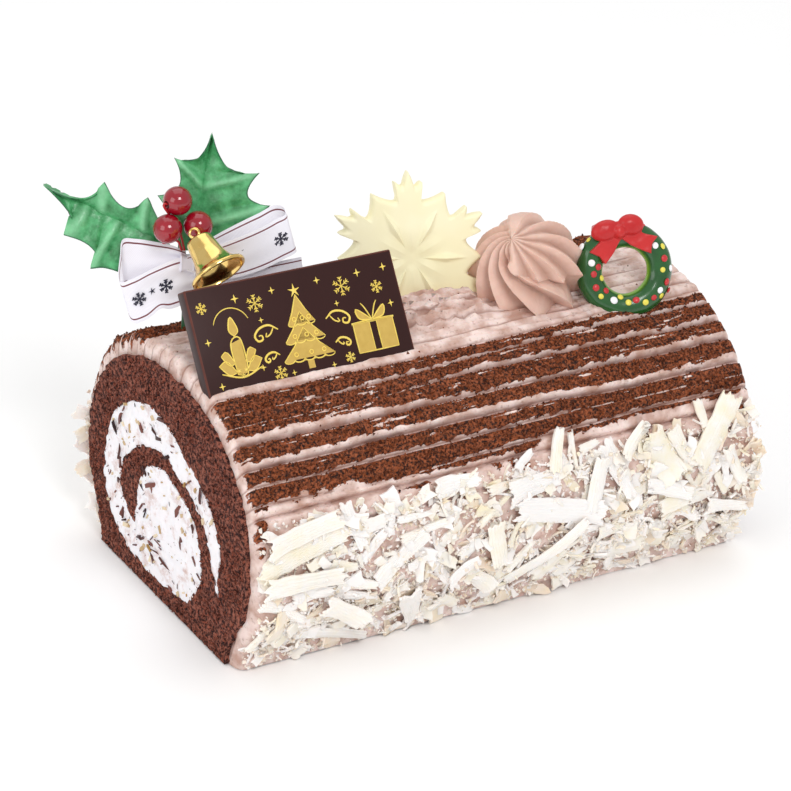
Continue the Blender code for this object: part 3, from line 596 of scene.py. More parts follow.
def trimmed_grid(loop, pitch, hole=None):
    """A flat grid cut to a loop, and to a hole in it, with its border drawn onto them."""
    low, high = loop.min(0), loop.max(0)
    steps = np.ceil((high - low) / pitch).astype(int)
    shape, shares = unit_grid(int(steps[0]), int(steps[1]))
    move_to(shape, np.column_stack([low + shares * (high - low), np.zeros(len(shares))]))
    middles = np.array([face.calc_center_median()[:2] for face in shape.faces])
    keep = inside(middles, loop)
    if hole is not None:
        keep &= ~inside(middles, hole)
    spare = [face for face, kept in zip(shape.faces, keep) if not kept]
    bmesh.ops.delete(shape, geom=spare, context="FACES")
    border = [vert for vert in shape.verts if vert.is_boundary]
    spots = np.array([vert.co[:2] for vert in border])
    aims = nearest(spots, loop)
    if hole is not None:
        others = nearest(spots, hole)
        closer = np.linalg.norm(others - spots, axis=1) < np.linalg.norm(aims - spots, axis=1)
        aims = np.where(closer[:, None], others, aims)
    for vert, aim in zip(border, aims):
        vert.co.x, vert.co.y = aim
    return shape


def through_the_log(shape, left, right, relief):
    """Extends a flat cut shape along the log, with its own relief at each end."""
    near_verts = shape.verts[:]
    flat = places_of(shape)[:, :2]
    grown = bmesh.ops.extrude_face_region(shape, geom=shape.faces[:], use_keep_orig=True)["geom"]
    grown = [vert for vert in grown if isinstance(vert, bmesh.types.BMVert)]
    spots = np.array([vert.co[:2] for vert in grown])
    lean = RIGHT_END_LEAN * spots[:, 1] / SPONGE_HEIGHT
    far = right - lean + relief(spots, 50)
    for vert, (y, z), x in zip(grown, spots, far):
        vert.co = (x, y, z)
    near = left - relief(flat, 20)
    for vert, (y, z), x in zip(near_verts, flat, near):
        vert.co = (x, y, z)
    return shape


def crumb_relief(spots, seed):
    """The torn, porous surface of cut sponge."""
    points = np.column_stack([spots, np.zeros(len(spots))])
    torn = rough(points, 1.1, seed, 3)
    pits = np.clip(rough(points, 1.6, seed + 1, 2) - 0.22, 0, 1)
    return 0.16 * torn - 0.9 * pits + 0.25 * rough(points, 9.0, seed + 2, 2)


def filling_relief(spots, seed):
    """The soft, slightly smeared surface of cut cream."""
    points = np.column_stack([spots, np.zeros(len(spots))])
    return 0.05 + 0.3 * rough(points, 2.6, seed, 4) + 0.3 * rough(points, 8.0, seed + 1, 2)


def ragged_loop(loop, inwards, size, amount, seed):
    """A closed loop moved inwards by a small distance, and made uneven."""
    edge = np.roll(loop, -1, axis=0) - np.roll(loop, 1, axis=0)
    side = np.column_stack([-edge[:, 1], edge[:, 0]]) / np.linalg.norm(edge, axis=1)[:, None]
    ahead = np.roll(loop, -1, axis=0)
    area = float((loop[:, 0] * ahead[:, 1] - ahead[:, 0] * loop[:, 1]).sum())
    wander = rough(np.column_stack([loop, np.zeros(len(loop))]), size, seed, 3)
    return loop + side * (math.copysign(1.0, area) * (inwards + amount * wander))[:, None]


def cut_ends(sponge_look, filling_look):
    """The sponge and the filling show at both cut ends."""
    spiral = spiral_loop()
    hole = ragged_loop(spiral, 0.5, 1.4, 0.35, 11)
    outline = ragged_loop(roll_loop(), -0.5, 2.2, 0.7, 15)
    outline[:, 1] = np.maximum(outline[:, 1], 0.0)
    shape = trimmed_grid(outline, CUT_PITCH, hole)
    shape = through_the_log(shape, SPONGE_LEFT, SPONGE_RIGHT, crumb_relief)
    finished("sponge_crumb", shape, [sponge_look], ["sponge"], sharp=80)
    shape = trimmed_grid(ragged_loop(spiral, 0.0, 1.6, 0.4, 12), CUT_PITCH)
    shape = through_the_log(shape, SPONGE_LEFT, SPONGE_RIGHT, filling_relief)
    finished("filling_cream", shape, [filling_look], ["filling"], sharp=80)


# ---------------------------------------------------------------- camera, light and floor


CAMERA_PLACE = (-471.712, -703.220, 496.830)
CAMERA_RIGHT = (0.85358286, -0.51682215, 0.06550702)
CAMERA_UP = (0.19560605, 0.43449792, 0.87917565)
CAMERA_BACK = (-0.48284011, -0.7376357, 0.47197352)
CAMERA_LENS = 159.3


def camera_frame():
    """The camera's turn, with its place in metres."""
    turn = Matrix((CAMERA_RIGHT, CAMERA_UP, CAMERA_BACK)).transposed().to_4x4()
    return Matrix.Translation(Vector(CAMERA_PLACE) * MM) @ turn


def make_camera():
    data = bpy.data.cameras.new("camera")
    data.lens = CAMERA_LENS
    data.sensor_width = 36.0
    data.clip_start = 0.05
    data.clip_end = 20.0
    camera = bpy.data.objects.new("camera", data)
    camera.matrix_world = camera_frame()
    bpy.context.scene.collection.objects.link(camera)
    bpy.context.scene.camera = camera


def make_light(name, place, size, power, colour="#ffffff"):
    """A square soft light, aimed at the cake."""
    data = bpy.data.lights.new(name, "AREA")
    data.size = size
    data.energy = power
    data.color = linear(colour)[:3]
    light = bpy.data.objects.new(name, data)
    aim = Vector((0, 0, 0.04)) - Vector(place)
    light.matrix_world = Matrix.Translation(place) @ aim.to_track_quat("-Z", "Y").to_matrix().to_4x4()
    bpy.context.scene.collection.objects.link(light)


def make_studio():
    """A plain white floor and soft light from above, the left and the front."""
    world = bpy.data.worlds.new("studio")
    world.use_nodes = True
    world.node_tree.nodes["Background"].inputs["Color"].default_value = linear("#ffffff")
    world.node_tree.nodes["Background"].inputs["Strength"].default_value = 0.65
    bpy.context.scene.world = world
    bpy.context.scene.view_settings.view_transform = "Standard"
    make_light("key", (-0.2, -0.9, 0.95), 0.4, 5.0)
    make_light("overhead", (0.3, 0.8, 2.4), 2.4, 17.0)
    make_light("left", (-1.0, -0.25, 0.5), 0.6, 2.2)
    shape = bmesh.new()
    bmesh.ops.create_grid(shape, x_segments=1, y_segments=1, size=3000.0)
    bmesh.ops.translate(shape, vec=(0, 0, -0.3), verts=shape.verts)
    bmesh.ops.scale(shape, vec=(MM, MM, MM), verts=shape.verts)
    mesh = bpy.data.meshes.new("floor")
    shape.to_mesh(mesh)
    shape.free()
    made, _, shader, _ = new_material("white paper", 0.9)
    shader.inputs["Base Color"].default_value = linear("#ffffff")
    mesh.materials.append(made)
    floor = bpy.data.objects.new("floor", mesh)
    bpy.context.scene.collection.objects.link(floor)


# ---------------------------------------------------------------- toppings in the cream


PLAQUE = (62.0, 29.6, 4.2)
PLAQUE_SUNK = 0.8
PLAQUE_CORNER = (-79.4, -17.7, 69.4)
PLAQUE_LEAN = 35.0
FLAKE_CENTRE = (-1.9, 12.0, 81.5)
FLAKE_TURN = -20.0
FLAKE_LEAN = 17.0
FLAKE_THICK = 4.0
FLAKE_FOOT_HEIGHT = 69.3
WREATH_CENTRE = (51.0, -14.0, 79.0)
WREATH_TURN = -20.0
WREATH_LEAN = 22.0
WREATH_RADIUS = 9.9
WREATH_TUBE = 3.6


def standing_frame(origin, turn, lean):
    """A frame whose Z faces the front, turned about the vertical and leant back. Its Y runs up the face."""
    upright = Matrix.Rotation(math.radians(90 - lean), 4, "X")
    return Matrix.Translation(origin) @ Matrix.Rotation(math.radians(turn), 4, "Z") @ upright


def frame_along(origin, direction):
    """A frame whose Z runs along the direction."""
    turned = Vector(direction).to_track_quat("Z", "Y").to_matrix().to_4x4()
    return Matrix.Translation(origin) @ turned


PLAQUE_FRAME = standing_frame(PLAQUE_CORNER, 0.0, PLAQUE_LEAN)
WREATH_FRAME = standing_frame(WREATH_CENTRE, WREATH_TURN, WREATH_LEAN)
FLAKE_FRAME = standing_frame(FLAKE_CENTRE, FLAKE_TURN, FLAKE_LEAN)


def chocolate_material(name, deep, pale, roughness, sheen_size=12.0, bump=0.03):
    """Moulded chocolate: smooth and satin, faintly cloudy, with a slightly uneven skin."""
    made, tree, shader, spot = new_material(name, roughness)
    shader.inputs["Specular IOR Level"].default_value = 0.3
    cloud = add(tree, "ShaderNodeTexNoise", {"Vector": spot, "Scale": per_mm(sheen_size), "Detail": 4.0})
    colour = add(tree, "ShaderNodeMix", {
        0: cloud.outputs["Fac"], 6: linear(deep), 7: linear(pale),
    }, data_type="RGBA")
    tree.links.new(colour.outputs[2], shader.inputs["Base Color"])
    skin = add(tree, "ShaderNodeTexNoise", {"Vector": spot, "Scale": per_mm(2.5), "Detail": 3.0})
    uneven = add(tree, "ShaderNodeBump", {"Height": skin.outputs["Fac"], "Strength": 0.6, "Distance": bump * MM})
    tree.links.new(uneven.outputs[0], shader.inputs["Normal"])
    return made


def plaque_block(face_look, edge_look):
    """The dark chocolate plaque, with its worn, paler edges."""
    width, height, thick = PLAQUE
    shape = bmesh.new()
    bmesh.ops.create_cube(shape, size=1.0)
    bmesh.ops.scale(shape, vec=PLAQUE, verts=shape.verts)
    bmesh.ops.translate(shape, vec=(width / 2, height / 2 - PLAQUE_SUNK, -thick / 2), verts=shape.verts)
    rounded = bmesh.ops.bevel(
        shape, geom=shape.edges[:], affect="EDGES", offset=0.45, segments=3, profile=0.5, material=-1
    )
    for face in rounded["faces"]:
        face.material_index = 1
    finished("plaque_block", shape, [face_look, edge_look], ["plaque"], PLAQUE_FRAME, 50)


# ---------------------------------------------------------------- the print on the plaque


def stroke(shape, points, width, height=0.16):
    """A flat, rounded line along the points, tapered at its ends."""
    points = [Vector((x, y, 0)) for x, y in points]
    rings = []
    for i, point in enumerate(points):
        ahead = points[min(i + 1, len(points) - 1)] - points[max(i - 1, 0)]
        side = Vector((-ahead.y, ahead.x, 0)).normalized()
        share = i / (len(points) - 1)
        half = 0.5 * width * (0.55 + 0.45 * min(1.0, 5 * share, 5 * (1 - share)))
        rise = Vector((0, 0, height))
        corners = (side * half, side * half * 0.6 + rise, -side * half * 0.6 + rise, -side * half)
        rings.append([shape.verts.new(point + corner) for corner in corners])
    for near, far in zip(rings, rings[1:]):
        for a in range(4):
            b = (a + 1) % 4
            shape.faces.new((near[a], near[b], far[b], far[a]))
    shape.faces.new(rings[0])
    shape.faces.new(rings[-1])


def patch(shape, points, height=0.1):
    """A flat filled area inside the points."""
    verts = [shape.verts.new((x, y, 0)) for x, y in points]
    edges = [shape.edges.new(pair) for pair in zip(verts, verts[1:] + verts[:1])]
    made = bmesh.ops.triangle_fill(shape, use_beauty=True, edges=edges)["geom"]
    faces = [face for face in made if isinstance(face, bmesh.types.BMFace)]
    raised = bmesh.ops.extrude_face_region(shape, geom=faces, use_keep_orig=True)["geom"]
    raised = [vert for vert in raised if isinstance(vert, bmesh.types.BMVert)]
    bmesh.ops.translate(shape, vec=(0, 0, height), verts=raised)


def arc(centre, radius, start, end, steps=14, squash=1.0):
    """Points round part of a circle, with its angles in degrees."""
    turns = np.radians(np.linspace(start, end, steps))
    return [(centre[0] + radius * math.cos(t), centre[1] + squash * radius * math.sin(t)) for t in turns]


def flow(points, steps=1.0):
    """A smooth line through a few points."""
    return [tuple(point) for point in curve_through(points, steps)]


def snow_crystal(shape, centre, radius, width=0.34):
    for i in range(6):
        turn = math.radians(90 + 60 * i)
        ahead = Vector((math.cos(turn), math.sin(turn)))
        side = Vector((-ahead.y, ahead.x))
        middle = Vector(centre)
        stroke(shape, [middle, middle + ahead * radius * 0.5, middle + ahead * radius], width)
        for share in (0.45, 0.75):
            fork = middle + ahead * radius * share
            for hand in (-1, 1):
                tip = fork + (ahead + hand * side) * radius * 0.24
                stroke(shape, [fork, (fork + tip) / 2, tip], width * 0.85)


def sparkle(shape, centre, radius, points=4):
    """A small star with pointed arms."""
    loop = []
    for i in range(2 * points):
        reach = radius if i % 2 == 0 else 0.28 * radius
        turn = math.radians(90 + 180 * i / points)
        loop.append((centre[0] + reach * math.cos(turn), centre[1] + reach * math.sin(turn)))
    patch(shape, loop, 0.16)


def fir_tree(fill, line, foot, height):
    """A fir tree of three scalloped tiers, with baubles and a star."""
    x, y = foot
    for tier, (low, high, half) in enumerate(((0.14, 0.52, 0.36), (0.37, 0.72, 0.28), (0.58, 0.94, 0.19))):
        half, low, high = half * height, y + low * height, y + high * height
        scallops = 5 - tier
        hem = []
        for i in range(scallops):
            left = x - half + 2 * half * i / scallops
            right = left + 2 * half / scallops
            hem += arc(((left + right) / 2, low), (right - left) / 2, 180, 360, 7, 0.5)
        sides = [(x + half * 0.5, low + (high - low) * 0.42), (x, high), (x - half * 0.5, low + (high - low) * 0.42)]
        patch(fill, hem + sides)
        stroke(line, hem + [sides[0]], 0.4)
        stroke(line, [hem[0], sides[2], sides[1]], 0.4)
        stroke(line, [hem[-1], sides[0], sides[1]], 0.4)
        for share in (-0.5, 0.1, 0.6):
            stroke(line, arc((x + share * half, low + 0.16 * (high - low)), 0.55, 0, 360, 10), 0.36, 0.24)
    trunk = 0.045 * height
    patch(fill, [(x - trunk, y), (x + trunk, y), (x + trunk, y + 0.1 * height), (x - trunk, y + 0.1 * height)])
    sparkle(line, (x, y + 0.99 * height), 0.09 * height, 5)


def candle(fill, line, foot, height):
    """A candle on a saucer, with its flame and a sprig at its foot."""
    x, y = foot
    half = 0.1 * height
    body = [(x - half, y), (x + half, y), (x + half, y + 0.6 * height), (x - half, y + 0.55 * height)]
    patch(fill, body)
    stroke(line, flow(body + [body[0]], 0.8), 0.4)
    flame = flow([
        (x, y + 0.66 * height), (x + 0.09 * height, y + 0.76 * height), (x, y + height),
        (x - 0.08 * height, y + 0.78 * height), (x, y + 0.66 * height),
    ], 0.6)
    patch(fill, flame[:-1])
    stroke(line, flame, 0.4)
    stroke(line, arc((x, y + 0.8 * height), 0.36 * height, 20, 160, 16), 0.3)
    stroke(line, flow([(x - 0.4 * height, y + 0.06 * height), (x, y - 0.06 * height), (x + 0.4 * height, y + 0.06 * height)]), 0.5)
    for hand in (-1, 1):
        for lift, reach in ((0.04, 0.42), (0.2, 0.34)):
            tip = (x + hand * reach * height, y + (lift + 0.16) * height)
            root = (x + hand * 0.1 * height, y + lift * height)
            over = ((tip[0] + root[0]) / 2, max(tip[1], root[1]) + 0.06 * height)
            under = ((tip[0] + root[0]) / 2, min(tip[1], root[1]) - 0.02 * height)
            patch(fill, flow([root, over, tip], 0.9) + flow([tip, under, root], 0.9)[1:-1])
            stroke(line, flow([root, over, tip], 0.9), 0.34)
            stroke(line, flow([root, under, tip], 0.9), 0.34)
    for spot in ((-0.07, 0.06), (0.07, 0.06), (0, -0.03)):
        sparkle(line, (x + spot[0] * height, y + spot[1] * height), 0.8, 6)


def gift_box(fill, line, foot, size):
    """A wrapped present with a looped bow."""
    x, y = foot
    half, tall = 0.5 * size, 0.66 * size
    patch(fill, [(x - half, y), (x - 0.09 * size, y), (x - 0.09 * size, y + tall), (x - half, y + tall)])
    patch(fill, [(x + 0.09 * size, y), (x + half, y), (x + half, y + tall), (x + 0.09 * size, y + tall)])
    outline = [(x - half, y), (x + half, y), (x + half, y + tall), (x - half, y + tall), (x - half, y)]
    for a, b in zip(outline, outline[1:]):
        stroke(line, [a, ((a[0] + b[0]) / 2, (a[1] + b[1]) / 2), b], 0.42)
    for across in (-0.09, 0.09):
        stroke(line, [(x + across * size, y), (x + across * size, y + tall / 2), (x + across * size, y + tall)], 0.34)
    lid = [(x - half - 0.4, y + tall), (x, y + tall + 0.1), (x + half + 0.4, y + tall)]
    stroke(line, lid, 0.9)
    for hand in (-1, 1):
        loop = flow([
            (x, y + tall + 0.3), (x + hand * 0.3 * size, y + tall + 0.08 * size),
            (x + hand * 0.34 * size, y + tall + 0.3 * size), (x, y + tall + 0.3),
        ], 0.6)
        patch(fill, loop[:-1])
        stroke(line, loop, 0.42)
        stroke(line, flow([(x, y + tall + 0.2), (x + hand * 0.12 * size, y + tall + 0.3 * size),
                           (x + hand * 0.2 * size, y + tall + 0.42 * size)], 0.6), 0.36)


def swirl(line, start, hand, size):
    """A scrolled flourish with a curled end."""
    x, y = start
    points = [(0, 0), (0.35, 0.22), (0.75, 0.16), (1.0, -0.08), (0.9, -0.3), (0.7, -0.26), (0.72, -0.1), (0.84, -0.12)]
    stroke(line, flow([(x + hand * size * a, y + size * b) for a, b in points], 0.5), 0.6)
    points = [(0.18, 0.1), (0.35, -0.12), (0.55, -0.2), (0.5, -0.05)]
    stroke(line, flow([(x + hand * size * a, y + size * b) for a, b in points], 0.5), 0.42)


def plaque_print(fill_look, line_look):
    """A plain winter pattern in two tones of gold: a fir tree, a candle, a present and snow."""
    fill, line = bmesh.new(), bmesh.new()
    middle = PLAQUE[0] / 2
    fir_tree(fill, line, (middle, 3.2), 21.0)
    candle(fill, line, (11.0, 5.6), 15.0)
    gift_box(fill, line, (middle + 20.6, 4.2), 12.0)
    for hand in (-1, 1):
        swirl(line, (middle + hand * 7.2, 15.0), hand, 7.0)
        swirl(line, (middle + hand * 8.4, 8.4), hand, 4.4)
    for x, y, radius in ((19.0, 22.8, 2.3), (45.0, 22.6, 2.5), (55.2, 20.6, 1.7), (3.6, 24.2, 1.5), (21.6, 3.6, 1.9), (42.6, 3.8, 1.4)):
        snow_crystal(line, (x, y), radius)
    for x, y, radius in (
        (24.6, 25.2, 1.0), (38.2, 25.4, 1.0), (13.6, 25.0, 1.2), (50.4, 25.2, 1.1), (58.4, 25.4, 1.1), (4.2, 3.4, 1.0),
        (58.2, 15.6, 1.0), (3.2, 15.2, 1.0), (17.0, 6.0, 0.9), (25.4, 3.0, 0.8), (37.4, 2.8, 0.8), (34.0, 1.6, 0.7),
        (19.6, 18.2, 0.8), (42.4, 18.4, 0.8),
    ):
        sparkle(line, (x, y), radius, 4)
    face = PLAQUE_FRAME @ Matrix.Translation((0, -PLAQUE_SUNK, 0.02))
    finished("plaque_print_fill", fill, [fill_look], (), face, 30)
    finished("plaque_print_line", line, [line_look], (), face, 30)


# ---------------------------------------------------------------- the white chocolate snowflake


FLAKE_HALF_ARM = (
    (25.0, 0.0), (23.0, 2.4), (21.0, 4.2), (20.6, 6.2), (21.7, 8.4), (22.3, 10.8), (20.2, 11.2),
    (18.0, 11.4), (16.9, 13.0), (17.0, 16.5), (17.7, 20.5), (19.0, 25.0), (21.4, 30.0),
)
FLAKE_DIAMOND = (2.2, 15.5, 1.5)  # where each raised diamond starts and ends, and half its width
FLAKE_SQUEEZE = (0.94, -0.05, 0.95)  # the mould is a little narrower than it is tall, and leans


def flake_outline():
    """The snowflake's outline, in even steps from the top."""
    points = []
    for arm in range(6):
        middle = 90 + 60 * arm
        before = [(radius, -turn) for radius, turn in FLAKE_HALF_ARM[-2:0:-1]]
        for radius, turn in (*before, *FLAKE_HALF_ARM):
            angle = math.radians(middle + turn)
            points.append((radius * math.cos(angle), radius * math.sin(angle)))
    points.append(points[0])
    points = np.array(points)
    return at_marks(points, np.linspace(0.0, length_of(points), 385))


def flake_height(x, y, share):
    """The moulded face: six narrow raised diamonds between the arms, faint ribs, a rounded rim."""
    radius = np.hypot(x, y)
    turn = np.degrees(np.arctan2(y, x))
    start, end, half = FLAKE_DIAMOND
    from_diamond = np.abs((turn + 30) % 60 - 30)
    across = radius * np.sin(np.radians(np.minimum(from_diamond, 45)))
    along = radius * np.cos(np.radians(from_diamond))
    swell = np.clip(1 - np.abs((along - start) / (end - start) * 2 - 1.15), 0, 1)
    diamond = swell * np.clip(1 - across / np.maximum(half * swell, 0.05), 0, 1)
    from_arm = np.abs((turn - 90 + 30) % 60 - 30)
    rib = np.clip(1 - radius * np.sin(np.radians(from_arm)) / 2.2, 0, 1)
    rib = rib * smooth_step(1.5, 4, radius) * (1 - smooth_step(6, 12, radius))
    dish = -0.7 * (1 - smooth_step(1.0, 9.0, radius))
    rim = -0.9 * (1 - np.sqrt(np.clip(1 - np.clip((share - 0.9) / 0.1, 0, 1) ** 2, 0, 1)))
    return FLAKE_THICK / 2 + 1.5 * diamond + 0.45 * rib + dish + rim


def snowflake_moulded(look):
    outline = flake_outline()
    shape, shares = unit_grid(len(outline) - 1, 26)
    at = shares[:, 0] * (len(outline) - 1)
    x = np.interp(at, np.arange(len(outline)), outline[:, 0]) * shares[:, 1]
    y = np.interp(at, np.arange(len(outline)), outline[:, 1]) * shares[:, 1]
    z = flake_height(x, y, shares[:, 1])
    wide, lean, tall = FLAKE_SQUEEZE
    move_to(shape, np.column_stack([wide * x + lean * y, tall * y, z]))
    bmesh.ops.remove_doubles(shape, verts=shape.verts, dist=0.002)
    rim = [edge for edge in shape.edges if edge.is_boundary]
    sides = bmesh.ops.extrude_edge_only(shape, edges=rim)["geom"]
    back = [vert for vert in sides if isinstance(vert, bmesh.types.BMVert)]
    for vert in back:
        vert.co.z = -FLAKE_THICK / 2
        vert.co.xy = vert.co.xy * 1.005
    open_edges = [edge for edge in shape.edges if edge.is_boundary]
    caps = bmesh.ops.holes_fill(shape, edges=open_edges, sides=0)["faces"]
    bmesh.ops.triangulate(shape, faces=caps)
    foot = FLAKE_FRAME.inverted() @ Vector((*FLAKE_CENTRE[:2], FLAKE_FOOT_HEIGHT))
    down = FLAKE_FRAME.inverted().to_3x3() @ Vector((0, 0, -1))
    everything = shape.verts[:] + shape.edges[:] + shape.faces[:]
    cut = bmesh.ops.bisect_plane(shape, geom=everything, plane_co=foot, plane_no=down, clear_outer=True)
    cut_edges = [edge for edge in cut["geom_cut"] if isinstance(edge, bmesh.types.BMEdge)]
    bmesh.ops.triangle_fill(shape, use_beauty=True, edges=cut_edges)
    finished("snowflake_moulded", shape, [look], ["snowflake"], FLAKE_FRAME, 50)


# ---------------------------------------------------------------- the piped rosette


ROSETTE_MIDDLE = (27.5, -1.0, 76.6)
ROSETTE_RADIUS = 15.9
ROSETTE_RIDGES = 11
# The peak points to the front left; directions are counted round it from the right as seen from the front
ROSETTE_PEAK = (-0.517, -0.287, 0.803)
# The last fold of cream: the angles of its ridges round the peak, and how far its lower edge reaches
FOLD_RIDGES = (-93.0, -60.0, -34.0, -8.0, 18.0, 46.0, 76.0)
FOLD_EDGE = (
    (-125, 6), (-100, 28), (-80, 36), (-62, 44), (-44, 58), (-22, 76), (0, 96),
    (30, 118), (80, 118), (104, 40), (130, 6),
)


def ridge_profile(share):
    """A ridge with a gentle slope on one side and a steep one on the other: 1 at its crest, 0 in the hollow."""
    gentle = np.clip(1 - share / 0.68, 0, 1) ** 1.5
    steep = np.clip((share - 0.68) / 0.32, 0, 1) ** 1.25
    return np.maximum(gentle, steep)


def rosette_radius(turn, polar):
    """How far the piped cream reaches from its middle, by the angle round its peak and the angle from it.

    Also how near each place is to the crest of a ridge.
    """
    twist = 125 * (1 - np.exp(-np.clip(polar - 6, 0, None) / 30))
    pitch = 360 / ROSETTE_RIDGES
    wound = ridge_profile(((turn - twist - 167) % pitch) / pitch)
    around = (turn + 180) % 360 - 180
    ridges = np.array(FOLD_RIDGES)
    bent = around + 6 * smooth_step(30, 90, polar)
    after = np.clip(np.searchsorted(ridges, bent) - 1, 0, len(ridges) - 2)
    part = np.clip((bent - ridges[after]) / (ridges[after + 1] - ridges[after]), 0, 1)
    fanned = ridge_profile(part)
    edge = np.interp(around, *np.array(FOLD_EDGE, dtype=float).T)
    on_fold = 1 - smooth_step(edge - 1.2, edge + 1.2, polar - 4.5 * (fanned - 0.5))
    inside_fold = smooth_step(-118, -104, around) * (1 - smooth_step(96, 118, around))
    on_fold = on_fold * inside_fold
    depth = 3.6 * smooth_step(0, 60, polar) + 0.4 * smooth_step(2, 12, polar)
    base = ROSETTE_RADIUS + 1.7 * smooth_step(95, 130, polar)
    lower = base - depth * (1 - wound)
    upper = base + 0.9 - 0.75 * depth * (1 - fanned)
    lift = 1.6 * np.exp(-(polar / 9) ** 2)
    pit = 2.6 * np.exp(-(((around + 125) / 20) ** 2 + ((polar - 17) / 5) ** 2))
    crest = wound * (1 - on_fold) + fanned * on_fold
    return lower * (1 - on_fold) + upper * on_fold + lift - pit, crest


def remeshed(shape, voxel, smoothing=0):
    """Joins overlapping shapes into one skin, with even faces."""
    mesh = bpy.data.meshes.new("joined")
    shape.to_mesh(mesh)
    shape.free()
    holder = bpy.data.objects.new("joined", mesh)
    bpy.context.scene.collection.objects.link(holder)
    skin = holder.modifiers.new("skin", "REMESH")
    skin.mode = "VOXEL"
    skin.voxel_size = voxel
    if smoothing:
        soften = holder.modifiers.new("soften", "SMOOTH")
        soften.iterations = smoothing
        soften.factor = 0.5
    depsgraph = bpy.context.evaluated_depsgraph_get()
    result = bmesh.new()
    result.from_mesh(holder.evaluated_get(depsgraph).to_mesh())
    bpy.data.objects.remove(holder, do_unlink=True)
    bpy.data.meshes.remove(mesh)
    return result


def rosette_piped(look):
    """A swirl from a star nozzle: sharp ridges wind up to the peak, and the last fold lies over the first."""
    shape, shares = unit_grid(460, 150)
    turn, polar = 360 * shares[:, 0], 138 * shares[:, 1] ** 1.1
    peak = Vector(ROSETTE_PEAK).normalized()
    right = Vector(CAMERA_RIGHT)
    right = (right - peak * right.dot(peak)).normalized()
    axes = np.array([right, peak.cross(right), peak])
    level = np.sin(np.radians(polar))
    away = np.column_stack([level * np.cos(np.radians(turn)), level * np.sin(np.radians(turn)), np.cos(np.radians(polar))])
    radius, crest = rosette_radius(turn, polar)
    points = np.array(ROSETTE_MIDDLE) + (away @ axes) * radius[:, None]
    points[:, 2] = np.maximum(points[:, 2], 69.3)
    move_to(shape, points)
    # painted shade: the hollows between the ridges are marked to be darkened, the crests left clear
    layer = shape.verts.layers.float.new("crease_shade")
    for vert, value in zip(shape.verts, np.clip(0.6 - 0.9 * crest, 0, 1)):
        vert[layer] = value
    bmesh.ops.remove_doubles(shape, verts=shape.verts, dist=0.004)
    open_edges = [edge for edge in shape.edges if edge.is_boundary]
    bmesh.ops.holes_fill(shape, edges=open_edges, sides=0)
    bmesh.ops.recalc_face_normals(shape, faces=shape.faces)
    shape.normal_update()
    lumps = rough(places_of(shape), 2.2, 31, 4)
    for vert, value in zip(shape.verts, lumps):
        vert.co += vert.normal * 0.13 * value
    finished("rosette_piped", shape, [look], ["rosette"], None, 75)


# ---------------------------------------------------------------- the wreath


WHITE_DOTS = ((-10, 2.4), (-3.7, -8), (9.4, -5.6), (12.6, 0.3), (8, 6.7), (-12.3, 6.7))
RED_DOTS = (
    (-9.4, -0.7), (-8.8, -4.4), (-5.8, -5.3), (2.6, -8.1), (7.6, -7.6), (11.4, -3.4),
    (10.6, 3.1), (12.3, -5.8), (-8, 1.2), (4.9, 12.4),
)
YELLOW_DOTS = (
    (-10.3, 8.6), (-6.9, -1.9), (-7.4, -6.8), (0.4, -8.7), (-1.7, -7.2), (5.2, -8.8),
    (9.9, -7.2), (10.1, 0), (10.3, 6.4),
)


def torus(radius, tube, depth, around, across):
    """A ring in the XY plane, with its tube stretched to the depth."""
    shape = bmesh.new()
    section = bmesh.ops.create_circle(shape, cap_ends=False, segments=across, radius=1.0)["verts"]
    for vert in section:
        vert.co = (radius + tube * vert.co.x, 0, depth * vert.co.y)
    bmesh.ops.spin(
        shape, geom=shape.verts[:] + shape.edges[:], axis=(0, 0, 1), cent=(0, 0, 0),
        angle=2 * math.pi, steps=around, use_merge=True,
    )
    return shape


def wreath_moulded(look):
    """The green ring, slightly uneven, with a painted lime highlight along its inner edge marked for the material."""
    shape = torus(WREATH_RADIUS, WREATH_TUBE, WREATH_TUBE - 0.6, 120, 36)
    points = places_of(shape)
    lumps = rough(points, 6.0, 41, 2)
    # painted highlight: the innermost strip of the ring round the hole is marked for a lime highlight
    layer = shape.verts.layers.float.new("inner")
    shape.normal_update()
    for vert, value in zip(shape.verts, lumps):
        radius = vert.co.xy.length
        vert[layer] = float(1 - smooth_step(-0.97, -0.8, (radius - WREATH_RADIUS) / WREATH_TUBE))
        vert.co += vert.normal * 0.22 * value
    finished("wreath_moulded", shape, [look], ["wreath_ring"], WREATH_FRAME, 80)


def green_material():
    """Moulded green chocolate with a wet gloss, and a thin painted lime highlight round the hole."""
    made, tree, shader, spot = new_material("green chocolate", 0.22)
    shader.inputs["Coat Weight"].default_value = 0.4
    shader.inputs["Coat Roughness"].default_value = 0.12
    cloud = add(tree, "ShaderNodeTexNoise", {"Vector": spot, "Scale": per_mm(5), "Detail": 3.0})
    green = add(tree, "ShaderNodeMix", {
        0: cloud.outputs["Fac"], 6: linear("#0b3a12"), 7: linear("#23682a"),
    }, data_type="RGBA")
    # painted highlight: the marked inner edge round the hole turns lime
    edge = add(tree, "ShaderNodeAttribute", attribute_name="inner").outputs["Fac"]
    colour = add(tree, "ShaderNodeMix", {0: edge, 6: green.outputs[2], 7: linear("#7fae2c")}, data_type="RGBA")
    tree.links.new(colour.outputs[2], shader.inputs["Base Color"])
    skin = add(tree, "ShaderNodeTexNoise", {"Vector": spot, "Scale": per_mm(1.6), "Detail": 2.0})
    bump = add(tree, "ShaderNodeBump", {"Height": skin.outputs["Fac"], "Strength": 0.4, "Distance": 0.08 * MM})
    tree.links.new(bump.outputs[0], shader.inputs["Normal"])
    return made


